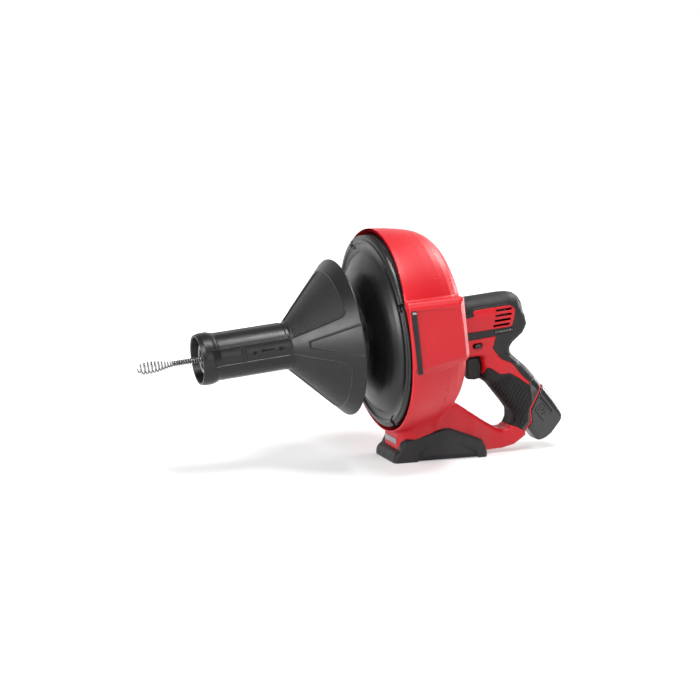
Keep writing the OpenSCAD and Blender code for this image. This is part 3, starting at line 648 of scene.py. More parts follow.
def shroud_fn(x, y, z):
    tx, tz = to_t(x, z)
    d, sh = all_red(x, y, z)
    d = np.maximum(d, shroud_region(x, y, z, sh))
    ay = np.abs(y)
    r = np.sqrt(y * y + tz * tz)
    # hollow inside
    d = smax(d, -poly(r, tx, RING_IN), 0.8)
    wi = smax(smax(poly(tx, tz, WING) + 3.2, ay - 137.0, 1), (tx - 82.5) * 0.66 + (ay - 133.0) * 0.75 + 3.2, 1)
    wi = np.maximum(np.maximum(wi, (tz - 54.5 + tx * 0.035) * 0.60 + (ay - 136.5) * 0.80 + 3.0), (-tz - 38.0 + tx * 0.12) * 0.62 + (ay - 136.5) * 0.785 + 3.0)
    wi = np.maximum(wi, 6 - tx)
    d = smax(d, -np.maximum(wi, 100 - ay), 0.8)
    # panel pocket and the strip's seat
    pk = smax(poly(tx, tz, PANEL) - 0.2, 139.0 - ay, 0.5)
    d = smax(d, -pk, 0.6)
    st = smax(poly(tx, tz, [(3.2, 45.4), (16.0, 44.6), (17.6, -39.6), (5.4, -40.2)]), 139.0 - ay, 0.4)
    d = smax(d, -st, 0.5)
    # hole for the gearcase nose
    d = np.maximum(d, -np.maximum(r - 17, 80 - tx))
    # the pedestal is hollow underneath
    d = np.maximum(d, -np.maximum(np.maximum(np.abs(x + 47) - 7, np.abs(y) - 22), z - 30))
    # rear ribs and screw bosses
    ang = np.arctan2(y, tz)
    a8 = (ang + math.pi / 9) % (math.pi / 4.5) - math.pi / 9
    hole = np.sqrt((r * np.cos(a8 * 1.0) - 70) ** 2 + (r * np.sin(a8)) ** 2)
    d = np.maximum(d, -np.maximum(hole - 2.1, 84 - tx))
    d = smin(d, np.maximum(np.maximum(hole - 5.0, 3.0 - hole), np.maximum(tx - 94.6, 90 - tx)), 1.5)
    return d


# ------------------------------------------------------------------ which layer covers what on the tool (drum axis frame x', z')
CHAR_ZONE = [(60, 60), (245, 60), (252, -92), (230.0, -96.8), (217.8, -104.6), (206.0, -91.0), (196.5, -77.0), (189.6, -70.6), (176.9, -64.3), (164.8, -46.6),
             (170, -29.4), (60, -30.8), (60, -18.3), (192.6, -19.2), (195.8, -16.6), (200.4, 3.0), (199.4, 6.6), (194.0, 11.3), (141.0, 11.5), (137.6, 9.0), (137.6, 2.4), (60, 2.4)]
RUB_ZONE = [(149.2, -81.9), (155.8, -73.1), (160.4, -75), (173.6, -85.3), (188.8, -86.3), (202.0, -95.4), (216.6, -108.3), (217.2, -131.6), (209.2, -146.2),
            (208.2, -159.2), (199.1, -169.4), (192.6, -164.6), (176, -158.4), (150, -150), (115, -112), (140, -84)]
COL_ZONE = [(217.8, -104.6), (230.0, -96.8), (252, -92), (262, -118), (228, -182), (206.0, -176.0), (199.1, -169.4), (208.2, -159.2), (209.2, -146.2), (217.2, -131.6), (216.6, -108.3)]
LAYER = 1.55


def foot_d(x, z):
    gu, gv = to_g(x, z)
    return poly(gu, gv, FOOT_ZONE)


def zones(x, z):
    tx, tz = to_t(x, z)
    ft = foot_d(x, z)
    ch = np.maximum(poly(tx, tz, CHAR_ZONE), 1.2 - ft)
    ru = np.maximum(poly(tx, tz, RUB_ZONE), 1.2 - ft)
    co = np.maximum(poly(tx, tz, COL_ZONE), 2.2 - ft)
    return ch, ru, co


def gear_box_cut(x, y, z, sh):
    return sh - 1.4


BODY_IN = [(80, 4), (199, 4), (211, -2), (211, -24), (194, -38), (188.5, -48), (187, -60), (186, -70), (176, -84), (166, -84), (166, -52), (80, -51)]
BARREL_IN = [(-40, 80), (25.4, 80), (25.4, 194), (22, 206.5), (10, 211.5), (-40, 211.5)]
BAR_IN = [(-38, 8), (-38, 42), (-22, 60), (30, 68), (66, 45), (92, 30.5), (104, 29.5), (118, 38), (128, 52), (136, 42), (134, 24), (118, 12.5), (100, 8.5), (80, 8)]
SCREWS = [(96, 205, 27), (84, 153, 17.5), (104, 122, 15.5), (102, 88, 15.5), (127, 55, 17.6), (92, 22, 18.4), (56, 42, 28)]


def vents_d(tx, tz):
    d = None
    for k in range(4):
        q = poly(tx, tz, [(171.5 - 1.8 * k, 7.7 - 7 * k), (196 - 1.6 * k, 7.9 - 7 * k), (196 - 1.6 * k, 5.0 - 7 * k), (172.4 - 1.8 * k, 4.8 - 7 * k)]) - 0.2
        d = q if d is None else np.minimum(d, q)
    return d


def housing_fn(x, y, z):
    """the half at y < 0; the other half is its mirror image"""
    tx, tz = to_t(x, z)
    gu, gv = to_g(x, z)
    d, sh = all_red(x, y, z)
    skin = d
    ay = np.abs(y)
    # the shroud and its pedestal are their own piece
    d = d + 0.09 * sstep((3.2 - np.minimum(sh, x + 41.6 + 1.0)) / 0.6)
    d = np.maximum(d, -(np.minimum(sh - 0.9, x + 41.9)))
    # the foot belongs to the battery
    d = smax(d, -foot_d(x, z), 0.9)
    # seats for the soft layers, on the outside of the tool only
    ch, ru, co = zones(x, z)
    lay = np.minimum(np.minimum(ch, ru), co)
    d = np.maximum(d, -np.maximum(-skin - LAYER, lay + 0.05))
    # hollow: motor barrel, body, battery well, base
    r = np.sqrt(y * y + tz * tz)
    d = np.maximum(d, -poly(r, tx, BARREL_IN))
    wi = np.interp(tz, [-110, -74, -56, -30, 10], [15.2, 15.4, 16.6, 20.6, 20.6]).astype(F)
    d = np.maximum(d, -np.maximum(poly(tx, tz, BODY_IN), ay - wi))
    well = np.maximum(rrect(gv, y, F(-19.4), F(21.4), F(-15.8), F(15.8), F(9)), -35 - gu)
    d = np.maximum(d, -well)
    bi = np.interp(x, [-38, 51, 82, 160], [29.6, 29.6, 16.2, 16.2]).astype(F)
    d = np.maximum(d, -np.maximum(poly(x, z, BAR_IN), ay - bi))
    # trigger opening, selector passage with its dished seat, vents, gauge window
    d = smax(d, -np.maximum(np.maximum(rrect(tx, tz, F(138), F(166), F(-91.5), F(-57.6), F(2)), ay - 8.4), tx - 166), 0.8)
    sel = rrect(tx, tz + (tx - 142) * 0.0, F(133.2), F(150.8), F(-44.4), F(-35.4), F(4.4))
    d = np.maximum(d, -rrect(tx, tz, F(134.8), F(149.2), F(-43.2), F(-36.6), F(3.2)))
    d = smax(d, -np.maximum(sel, 22.6 - ay), 1.0)
    d = np.maximum(d, -np.maximum(vents_d(tx, tz), 15 - ay))
    # shallow dish behind the vents' slanted ends
    d = np.maximum(d, -np.maximum(rrect(tx, tz, F(167.6), F(196.4), F(-26.2), F(-21.0), F(1.0)), 22.5 - ay))
    # parting line
    d = smax(d, 0.42 - np.sqrt(y * y + d * d), 0.3)
    d = np.maximum(d, y + 0.03)
    return d


def tool_skin(x, y, z):
    """outer surface of the whole red body, shroud and base included"""
    d, sh = all_red(x, y, z)
    return d


def layer_fn(zone, proud, edge=0.9, extra=None):
    def fn(x, y, z):
        d, sh = all_red(x, y, z)
        zz = zones(x, z)[zone]
        tx, tz = to_t(x, z)
        out = d - proud
        if extra is not None:
            out = out + extra(x, y, z, zz)
        s = smax(out, zz + 0.12, edge)
        s = np.maximum(s, -(d + LAYER - 0.02))
        s = np.maximum(s, -(sh - 1.6))
        if zone == 0:
            s = np.maximum(s, -rrect(tx, tz, F(167.6), F(196.4), F(-26.2), F(-21.0), F(1.0)))
        return s
    return fn


def char_extra(x, y, z, zz):
    """moulded steps of the soft cover: a thumb dish above the grip and three short ridges over the rear shoulder"""
    tx, tz = to_t(x, z)
    ay = np.abs(y)
    g = 0
    for k in range(3):
        q = np.abs((tx - (212.0 + 3.4 * k)) * 0.72 + (tz - 19.0 + 3.6 * k) * 0.0) - 0.55
        g = g + 0.55 * sstep(1 - np.maximum(q, 0) / 0.6) * (tz > 12)
    line = np.abs(line_d(tx, tz, [(198.5, -27.5), (186.0, -31.0), (178.0, -46.0), (187.5, -59.5), (199, -66)])) - 0.5
    g = g + 0.5 * sstep(1 - np.maximum(line, 0) / 0.9)
    edge = np.abs(zz + 3.0) - 0.25
    return (g + 0.35 * sstep(1 - np.maximum(edge, 0) / 0.7)).astype(F)


def rib_extra(x, y, z, zz):
    gu, gv = to_g(x, z)
    ph = (gu + 0.30 * (gv + 6) - 0.010 * (gv + 6) ** 2 + 30) / 5.3
    w = np.abs((ph % 1.0) - 0.5) * 2
    inset = sstep((-zz - 3.0) / 2.2) * sstep((52 - gu) / 8.0) * sstep((gu + 32) / 6.0)
    rim = np.abs(zz + 2.6) - 0.2
    return (1.15 * sstep((w - 0.42) / 0.5) * inset + 0.4 * sstep(1 - np.maximum(rim, 0) / 0.8)).astype(F)


# ------------------------------------------------------------------ boot
BOOT_SIDE = [(-70, 0), (-70, 8.0), (-67.5, 14.0), (-61.0, 16.4), (-58.2, 29.8), (-52.5, 33.2), (8.8, 46.6), (60.2, 25.4), (64.4, 21.8), (69.8, 7.4), (69.4, 0)]
BOOT_PANEL = [(-33.4, 13.8), (-27.5, 17.6), (10.5, 29.4), (14.0, 29.2), (49.5, 14.6), (53.6, 9.5), (55.4, 2.0), (-34.5, 2.0)]


def boot_fn(x, y, z):
    ay = np.abs(y)
    hw = np.interp(x, [-70, -67.5, -64, 65, 70], [35.5, 39.4, 40.3, 40.3, 36]).astype(F)
    lean = np.maximum(z - 8, 0) * 0.055
    d = smax(poly(x, z, BOOT_SIDE), ay - hw + lean, 2.2)
    ledge = np.maximum(x + 61.5, 0)
    # chamfered shoulder along the top
    top = np.interp(x, [-70, -61.6, -52.5, 8.8, 60.2, 70], [9, 17, 33.2, 46.6, 25.4, 9]).astype(F)
    d = smax(d, (z - top) * 0.72 + (ay - hw + lean + 3.6) * 0.70, 1.2)
    # cavity for the base, the bar and the pedestal
    cw = np.interp(x, [-61, 52.1, 71, 100], [33.8, 33.8, 25.9, 25.9]).astype(F)
    d = np.maximum(d, -np.maximum(np.maximum(ay - cw, 5 - z), -44 - x))
    ped = np.maximum(rrect(x, ay, F(-61.1), F(-20), F(-60), F(35.7), F(15.1)), 15.7 - z)
    d = np.maximum(d, -np.maximum(ped, x + 41.6))
    # recessed, darker side panel and relieved sole
    pn = poly(x, z, BOOT_PANEL)
    d = smax(d, -np.maximum(smax(pn, -pn - 90, 1), 37.6 - ay + lean), 0.8)
    inner = pn + 4.4
    d = smin(d, np.maximum(np.maximum(inner, ay - 38.7 + lean), 35.6 - ay), 1.4)
    d = np.maximum(d, -np.maximum(np.maximum(28 - ay, z - 1.6), np.maximum(-36 - x, x - 54)))
    # grooves across the front foot
    for k in range(3):
        gx = -68.0
        gy = 12.0 * (k - 1) * 1.6
        d = np.maximum(d, -np.maximum(np.maximum(np.abs(y - gy) - 5.4, np.abs(z - 5.2) - 1.2), x + 69.2))
    return d


# ------------------------------------------------------------------ small parts
def gauge_fn(x, y, z):
    tx, tz = to_t(x, z)
    ay = np.abs(y)
    d = smax(rrect(tx, tz, F(168.0), F(196.0), F(-25.8), F(-21.4), F(1.4)), ay - 25.9, 0.8)
    d = np.maximum(d, 22.7 - ay)
    return d


def trigger_fn(x, y, z):
    tx, tz = to_t(x, z)
    ay = np.abs(y)
    side = [(131.6, -58.9), (128.9, -64), (127.5, -72), (127.9, -81.5), (130.4, -88.2), (139.6, -90.0), (146.6, -89.2), (149.8, -85), (151.5, -76), (150.4, -66.4), (147.0, -59.2), (140, -58.3)]
    hw = np.interp(tx, [127, 130, 134, 156], [5.6, 7.2, 7.9, 7.9]).astype(F)
    d = smax(poly(tx, tz, side), ay - hw, 3.2)
    # finger hollow and side relief
    d = smax(d, -(np.sqrt((tx - 112.0) ** 2 + (tz + 74.5) ** 2) - 17.4), 3.0)
    rel = smax(poly(tx, tz, side) + 3.0, 7.35 - ay, 0.6)
    d = smax(d, -rel, 0.5)
    stem = np.maximum(rrect(tx, tz, F(146.4), F(157.2), F(-79.8), F(-58.6), F(1.4)), ay - 5.9)
    return smin(d, stem, 0.8)


def selector_fn(x, y, z):
    tx, tz = to_t(x, z)
    ay = np.abs(y)
    bar = smax(rrect(tx, tz, F(136.0), F(148.0), F(-42.6), F(-37.4), F(2.5)), ay - 25.4, 1.6)
    cap = smax(rrect(tx, tz, F(138.4), F(145.6), F(-41.6), F(-38.6), F(1.4)), ay - 25.85, 0.6)
    d = smin(bar, cap, 0.8)
    for k in (-1, 1):
        d = smax(d, -(np.sqrt((tx - 142 - 2.4 * k) ** 2 + (ay - 26.2) ** 2) - 0.6), 0.3)
    # waisted through the body
    return np.maximum(d, -np.maximum(rrect(tx, tz, F(138.6), F(145.4), F(-60), F(-38.9), F(0.5)), ay - 17.5))


FOOT_SIDE = [(23.2, 34), (25.1, 25.5), (39.2, -7.7), (52.6, -16.5), (59.2, -34), (79.5, -34), (85.6, -24), (87.6, -6), (82.6, 20), (80.0, 27), (75, 31), (60, 34)]


def battery_fn(x, y, z):
    gu, gv = to_g(x, z)
    ay = np.abs(y)
    stem = smax(rrect(gv, y, F(-18.8), F(20.8), F(-15.2), F(15.2), F(8.5)), np.maximum(-32 - gu, gu - 40), 1.6)
    # contact rails on the stem's end
    stem = np.maximum(stem, -np.maximum(np.maximum(gu + 26, np.abs(ay - 8) - 1.6), 11.5 - gv))
    hw = 22.45 - 1.2 * sstep((gu - 60) / 30)
    body = rrect(gv, y, F(-26.2) + 0 * gu, F(30.3) - 1.6 * sstep((gu - 50) / 38), -hw, hw, F(13.5))
    foot = smax(poly(gu, gv, FOOT_SIDE), smax(body, (gu - 86.0) * 0.80 + (gv - 12.0) * 0.60 - 2.0, 4.0), 3.0)
    # side panels drop back behind a line, and a long slot runs down the rear quarter
    low = np.maximum(np.maximum(gv - 14.6, 27 - gu), 20.0 - ay)
    foot = smax(foot, -np.maximum(low, ay * -1 + hw - 0.55), 0.5)
    slot = rrect(gu, gv, F(33), F(62.5), F(13.4), F(15.6), F(0.9))
    foot = smax(foot, -np.maximum(slot, hw - 3.4 - ay), 0.4)
    # groove round the base
    foot = smax(foot, -np.maximum(np.abs(gu - 79.5) - 0.5, np.abs(body) - 0.55), 0.3)
    d = smin(stem, foot, 2.0)
    # pockets
    d = np.maximum(d, -np.maximum(np.sqrt((gv - 8) ** 2 + y * y) - 9.3, np.maximum(-29.6 - gu, gu - 37.4)))
    d = smax(d, -np.maximum(rrect(gu, gv, F(42.1), F(63.9), F(-3.9), F(11.9), F(2.4)), 18.2 - ay), 0.4)
    return d


def latch_fn(x, y, z):
    gu, gv = to_g(x, z)
    ay = -y
    d = smax(rrect(gu, gv, F(42.3), F(63.7), F(-3.7), F(11.7), F(2.3)), np.maximum(ay - 22.75 + 0.012 * (gu - 53) ** 2 * 0.6, 21.0 - ay), 0.9)
    for k in range(4):
        g = np.abs(gu - (47.0 + 3.9 * k) - (gv - 4) * 0.18) - 0.55
        g = np.maximum(g, np.abs(gv - 4.0 - 1.6 * (k % 2)) - (4.4 if k in (0, 2) else 2.6))
        d = smax(d, -np.maximum(g, 21.6 - ay), 0.4)
    return d


def strip_fn(x, y, z):
    tx, tz = to_t(x, z)
    ay = -y
    d = poly(tx, tz, [(3.6, 44.8), (10.6, 44.2), (12.0, -39.2), (5.8, -39.7)]) - 0.2
    d = smax(d, np.maximum(ay - 141.6, 138.9 - ay), 0.6)
    # a shallow central channel down the strip (the pale square window at the top is a separate cap)
    d = smax(d, -np.maximum(poly(tx, tz, [(5.6, 37.6), (9.4, 37.4), (10.4, -36.6), (7.6, -36.8)]), 141.1 - ay), 0.3)
    return d


def plate_fn(x, y, z):
    d = rrect(y, z, F(-20.4), F(20.4), F(23.5), F(31.5), F(1.2))
    d = smax(d, np.maximum(-61.9 - x, x + 60.8), 0.3)
    rim = np.maximum(rrect(y, z, F(-19.2), F(19.2), F(24.8), F(30.2), F(0.7)), x + 61.4)
    return smax(d, -rim, 0.25)


# ------------------------------------------------------------------ drum
DR = 133.0
DRUM_OUT = [(DR, 3.95), (DR, -0.8), (DR - 1.3, -2.4), (DR - 4, -2.4), (DR - 5.2, -4.6), (DR - 9, -4.6), (DR - 11, -2), (DR - 15, -0.6),
            (DR - 20, -1.6), (DR - 25, -5.6), (100, -11), (90, -17), (78, -21.5), (64, -25), (50, -26.5), (38, -26.5), (28, -24.5), (20, -24)]
DRUM_FIN = [(15.2, -24), (15.2, -21), (28, -21.6), (38, -23.6), (50, -23.6), (64, -22.1), (78, -18.6), (90, -14.2), (99, -8.6),
            (DR - 26, -3), (DR - 20.5, 1.2), (DR - 15, 2.4), (DR - 2.6, 2.4), (DR - 2.6, 3.95)]


def drum_front_fn(x, y, z):
    tx, tz = to_t(x, z)
    r = np.sqrt(y * y + tz * tz)
    d = smax(poly(r, tx, DRUM_P), F(-50) - tx, 1)
    a = (np.arctan2(y, tz) + 2 * math.pi) % (math.pi / 2) - math.radians(22)
    wy, wr = r * np.sin(a), r * np.cos(a) - (DR - 8.4)
    wd = np.sqrt(wy * wy + wr * wr)
    well = np.maximum(np.minimum(wd - 4.9, np.maximum(np.abs(wy) - 4.9, -wr)), tx - 1.9)
    boss = np.maximum(np.minimum(wd - 6.0, np.maximum(np.abs(wy) - 6.0, -wr)), np.maximum(tx - 3.2, -2.4 - tx))
    boss = np.maximum(boss, r - DR + 0.4)
    d = smin(d, boss, 1.4)
    d = smax(d, -well, 0.6)
    d = np.maximum(d, -(np.maximum(wd - 1.7, np.maximum(-8 - tx, tx - 5))))
    return d.astype(F)


def poly_mid(r):
    rr = [p[0] for p in DRUM_OUT][::-1]
    xx = [p[1] for p in DRUM_OUT][::-1]
    return np.interp(r, rr, xx).astype(F) + 1.5


DRUM_P = [tuple(p) for p in fillet(DRUM_OUT, [0, 1.2, 1.0, 0.8, 1.0, 1.2, 1.6, 5, 5, 7, 12, 20, 30, 30, 30, 12, 6, 0], n=4, closed=False)] + DRUM_FIN


# ------------------------------------------------------------------ funnel sleeve: a turned grid with panels, ribs and marks worked into it
SL_OUT = [(104.6, -50.75), (107.3, -51.3), (107.3, -53.4), (31.9, -129), (31.9, -227), (34.6, -236), (35.2, -240), (35.0, -247.5), (33.4, -253)]
SL_IN = [(31.6, -253), (30.9, -251.6), (28.6, -240), (28.25, -236), (28.25, -138), (30.5, -127), (103.9, -52.6), (104.3, -50.75)]
RIBC = 276.5


def funnel():
    op = fillet(SL_OUT, [0.4, 1.0, 1.2, 2.5, 4, 3, 2.5, 2.0, 0.8], n=6, closed=False)
    ip = fillet(SL_IN, [0.8, 1, 1, 0.6, 4, 8, 1, 0.4], n=5, closed=False)
    fine = 0.62
    op = resample(op, fine)
    ip = resample(ip, 2.2)
    nth = 900
    th = np.radians(np.arange(nth) * 360.0 / nth)
    prof = np.concatenate([op, ip])
    no = len(op)
    R, X = prof[:, 0], prof[:, 1]
    tan = np.gradient(prof, axis=0)
    tan /= np.maximum(np.linalg.norm(tan, axis=1), 1e-9)[:, None]
    NR, NX = -tan[:, 1], tan[:, 0]
    deg = np.degrees(th)[None, :]
    dth = (deg - RIBC + 60) % 120 - 60
    r2, x2 = R[:, None], X[:, None]
    out = (np.arange(len(prof)) < no)[:, None]
    D = np.zeros((len(prof), nth))
    ad = np.abs(dth)
    cone = (x2 > -131) & out
    # stippled panels on the cone
    side = (ad - 20.4 - 0.4 * sstep((x2 + 90) / 30)) * np.pi / 180 * r2
    end = (-67.2 - x2) * 1.414
    start = (x2 + 127.5) * 1.414
    rc = 7.0
    qa, qb = np.maximum(rc - side, 0), np.maximum(rc - end, 0)
    pan = np.where((side < rc) & (end < rc), rc - np.sqrt(qa ** 2 + qb ** 2), np.minimum(side, end))
    pan = np.minimum(pan, start)
    pm = sstep(pan / 1.3) * (r2 > 31.95) * out
    D -= 1.35 * pm
    # V facet in the middle of each rib
    hwv = np.interp(-x2, [50, 57, 110], [21.6, 20.6, 4.4])
    vd = np.minimum(hwv - np.abs(dth + 0.6) * np.pi / 180 * r2, (x2 + 110) * 1.414)
    vm = sstep(vd / 1.0) * cone * (x2 < -53.6)
    D -= 1.15 * vm
    D += 0.5 * sstep(1 - np.abs(vd + 0.9) / 0.8) * cone * (x2 < -55)
    D += 0.4 * sstep(1 - np.abs(pan + 0.9) / 0.8) * cone * (x2 < -55)
    # tube: side strips between ridge lines, recessed panels between them
    tube = (x2 <= -128) & (x2 > -238) & out
    ta = (20.0 - ad) * np.pi / 180 * r2
    fl = np.minimum(ta, np.minimum(x2 + 236.5, -126.0 - x2))
    D -= tube * 0.55 * sstep(fl / 0.7)
    D += tube * 0.75 * sstep(1 - np.abs(ta + 0.3) / 0.9) * sstep((-131 - x2) / 3)
    tp2 = np.minimum((ad - 24.0) * np.pi / 180 * r2, np.minimum(x2 + 231.5, -133.5 - x2))
    D -= tube * 0.55 * sstep(tp2 / 0.8)
    for bx in (-198.1, -193.7):
        D += tube * 0.75 * sstep(1 - np.maximum(np.abs(x2 - bx) - 0.5, 0) / 0.5) * sstep((17.6 - ad) / 1.0)
    # marks: a dot, an arrow and a square, sunk and dark
    my = dth * np.pi / 180 * 31.9
    dot = np.sqrt((x2 + 180.5) ** 2 + (my + 1.0) ** 2) - 2.5
    bar = np.maximum(np.abs(my - 0.4) - 0.85, np.maximum(-168.5 - x2, x2 + 153.2))
    head = np.maximum(np.maximum(-171.6 - x2, x2 + 167.6), np.abs(my - 0.4) - (x2 + 172.6) * 0.6)
    sq = np.maximum(np.abs(x2 + 143.8), np.abs(my + 0.5)) - 2.7
    sq = np.maximum(sq, -(np.abs(my + 0.5 - (x2 + 143.8)) - 0.5))
    mk = np.minimum(np.minimum(dot, sq), np.minimum(bar, head))
    mm = sstep(-mk / 0.35 + 0.5) * tube * ((deg > 180) & (deg < 360) | (np.abs(dth) < 15))
    D -= 0.9 * mm
    RR = r2 + D * NR[:, None]
    XX = x2 + D * NX[:, None]
    P = np.stack([XX, RR * np.sin(th)[None], RR * np.cos(th)[None]], -1).reshape(-1, 3)
    V = t_points(P)
    Q = grid_faces(len(prof), nth, True, True)
    ob = mesh_obj("sleeve_cone_and_tube", V, Q)
    me = ob.data
    for nm, arr in (("stipple", pm), ("ink", mm)):
        at = me.attributes.new(nm, "FLOAT", "POINT")
        if len(me.vertices) == arr.size:
            at.data.foreach_set("value", np.broadcast_to(arr, D.shape).astype(F).ravel())
    return ob


# ------------------------------------------------------------------ wound wire
def wire_tube(name, path, wr, sides=8, frames=None):
    """a tube of radius wr along a path (n,3) in mm"""
    path = np.asarray(path, float)
    n = len(path)
    t = np.gradient(path, axis=0)
    t /= np.linalg.norm(t, axis=1)[:, None]
    up = np.array([0.0, 0.0, 1.0]) if abs(t[0][2]) < 0.9 else np.array([0.0, 1.0, 0.0])
    a = up - t[0] * (up @ t[0])
    a /= np.linalg.norm(a)
    A = np.zeros((n, 3))
    for i in range(n):
        a = a - t[i] * (a @ t[i])
        a /= np.linalg.norm(a)
        A[i] = a
    B = np.cross(t, A)
    ang = np.arange(sides) * 2 * math.pi / sides
    wr = np.broadcast_to(wr, (n,))
    V = path[:, None] + wr[:, None, None] * (np.cos(ang)[None, :, None] * A[:, None] + np.sin(ang)[None, :, None] * B[:, None])
    V = V.reshape(-1, 3)
    Q = [tuple(q) for q in grid_faces(n, sides, True, False, flip=True)]
    Q += [tuple(range(sides)), tuple(range((n - 1) * sides, n * sides))[::-1]]
    ob = mesh_obj(name, V, Q)
    return ob


def fix_normals(ob):
    bm = bmesh.new()
    bm.from_mesh(ob.data)
    bmesh.ops.recalc_face_normals(bm, faces=bm.faces)
    bm.to_mesh(ob.data)
    bm.free()


def close_wound(name, path, radius, pitch, wr, sides=6):
    """close-wound wire round a path: the outside of a drain cable"""
    path = np.asarray(path, float)
    seg_l = np.linalg.norm(np.diff(path, axis=0), axis=1)
    s = np.concatenate([[0], np.cumsum(seg_l)])
    turns = s[-1] / pitch
    per = 14
    n = int(turns * per)
    q = np.linspace(0, s[-1], n)
    C = np.stack([np.interp(q, s, path[:, k]) for k in range(3)], 1)
    t = np.gradient(C, axis=0)
    t /= np.linalg.norm(t, axis=1)[:, None]
    up = np.array([0.0, 0.0, 1.0]) if abs(t[0][2]) < 0.9 else np.array([0.0, 1.0, 0.0])
    a = up
    A = np.zeros((n, 3))
    for i in range(n):
        a = a - t[i] * (a @ t[i])
        a /= np.linalg.norm(a)
        A[i] = a
    B = np.cross(t, A)
    ph = q / pitch * 2 * math.pi
    W = C + (radius - wr) * (np.cos(ph)[:, None] * A + np.sin(ph)[:, None] * B)
    return wire_tube(name, W, wr, sides)


# ================================================================== build
QK = 1.0


def sdf_obj(name, fn, lo, hi, h, mat, body, replaces=None, wn=True):
    t = time.time()
    V, Q = nets(fn, lo, hi, h * QK)
    ob = mesh_obj(name, V, Q)
    dress(ob, mat)
    if body:
        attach(ob, body)
    if replaces:
        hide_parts(*([replaces] if isinstance(replaces, str) else replaces))
    print("PIECE %s %d faces %.1fs" % (name, len(Q), time.time() - t), flush=True)
    return ob, V, Q


def mirrored(name, V, Q, mat, body, replaces):
    V2 = V.copy()
    V2[:, 1] *= -1
    ob = mesh_obj(name, V2, Q[:, ::-1].copy())
    dress(ob, mat)
    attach(ob, body)
    if replaces:
        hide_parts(replaces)
    return ob


sdf_obj("drum_shroud_shell", shroud_fn, (-92, -146, 14), (24, 146, 326), 1.25, RED, "root", "drum_shroud")
_, V, Q = sdf_obj("housing_half_left", housing_fn, (-44, -84, 3), (160, 1.5, 236), 1.0, RED, "root", "left_housing")
mirrored("housing_half_right", V, Q, RED, "root", "right_housing")
sdf_obj("motor_soft_cover", layer_fn(0, 0.15, 0.9, char_extra), (-4, -33, 90), (160, 33, 240), 0.95, CHAR, "root", "motor_overmould")
sdf_obj("grip_rubber_ribbed", layer_fn(1, 0.35, 0.9, rib_extra), (60, -25, 30), (160, 25, 132), 0.7, GRIP, "root", "grip_overmould")
sdf_obj("grip_collar_wedge", layer_fn(2, 0.1, 0.7), (90, -26, 20), (170, 26, 120), 0.8, BATT, "root", None)
sdf_obj("base_boot_moulded", boot_fn, (-72, -43, -2), (72, 43, 49), 0.95, BOOT, "root", "base_boot")
sdf_obj("gauge_lens_pair", gauge_fn, (70, -28, 160), (122, 28, 186), 0.6, LENS, "root", "gauge_window")
sdf_obj("trigger_blade", trigger_fn, (40, -9.5, 95), (86, 9.5, 145), 0.55, CHAR, "trigger_body", "trigger")
sdf_obj("selector_bar", selector_fn, (46, -27, 144), (72, 27, 166), 0.55, DRUM, "selector", "direction_selector")
sdf_obj("battery_shell", battery_fn, (80, -24.5, -6), (215, 24.5, 145), 0.8, BATT, "battery", "battery_case")
_, V, Q = sdf_obj("battery_latch_key_left", latch_fn, (140, -24.5, 30), (185, -19, 75), 0.45, BATT, "latch_left", "battery_latch_left")
mirrored("battery_latch_key_right", V, Q, BATT, "latch_right", "battery_latch_right")
_, V, Q = sdf_obj("shroud_strip_left", strip_fn, (-92, -143, 134), (-66, -139, 230), 0.5, CHAR, "root", None)
ob = mirrored("shroud_strip_right", V, Q, CHAR, "root", "shroud_side_strips")
for sgn, nm in ((-1, "left"), (1, "right")):
    bm = bmesh.new()
    pts = [(4.2, 44.4), (10.3, 43.8), (10.7, 40.6), (4.5, 41.0)]
    lo_v = [bm.verts.new(tp(a, sgn * 141.0, b)) for a, b in pts]
    hi_v = [bm.verts.new(tp(7.4 + (a - 7.4) * 0.86, sgn * 141.95, 42.4 + (b - 42.4) * 0.8)) for a, b in pts]
    bm.faces.new(lo_v)
    bm.faces.new(hi_v[::-1])
    for k in range(4):
        bm.faces.new((lo_v[k], hi_v[k], hi_v[(k + 1) % 4], lo_v[(k + 1) % 4]))
    bmesh.ops.recalc_face_normals(bm, faces=bm.faces)
    bmesh.ops.bevel(bm, geom=list(bm.edges), offset=0.0002, segments=2, affect="EDGES")
    me = bpy.data.meshes.new("strip_cap_" + nm)
    bm.to_mesh(me)
    bm.free()
    cap = bpy.data.objects.new(me.name, me)
    bpy.context.scene.collection.objects.link(cap)
    dress(cap, ZINC)
    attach(cap, "root")
sdf_obj("blank_plate", plate_fn, (-64, -25, 21), (-59, 25, 34), 0.35, PLATE, "root", "rating_plate")
sdf_obj("drum_front_dome", drum_front_fn, (-128, -135, 42), (-66, 135, 318), 1.1, DRUM, "drum", "drum_front")

fn_ob = funnel()
dress(fn_ob, SLEEVE)
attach(fn_ob, "sleeve")
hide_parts("funnel_sleeve")

# gauge lamps: four small domes on each side
for k in range(4):
    for sgn, nm in ((-1, "left"), (1, "right")):
        bm = bmesh.new()
        bmesh.ops.create_uvsphere(bm, u_segments=16, v_segments=10, radius=0.6 * MM)
        for v in bm.verts:
            v.co.y *= 0.7
        me = bpy.data.meshes.new("gauge_lamp_%s_%d" % (nm, k + 1))
        bm.to_mesh(me)
        bm.free()
        for p in me.polygons:
            p.use_smooth = True
        lamp = bpy.data.objects.new(me.name, me)
        bpy.context.scene.collection.objects.link(lamp)
        lamp.location = tp(177.5 + 4.6 * k, sgn * 25.75, -23.5 + 0.1 * k)
        lamp.data.materials.append(LAMP.m)
        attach(lamp, "root")

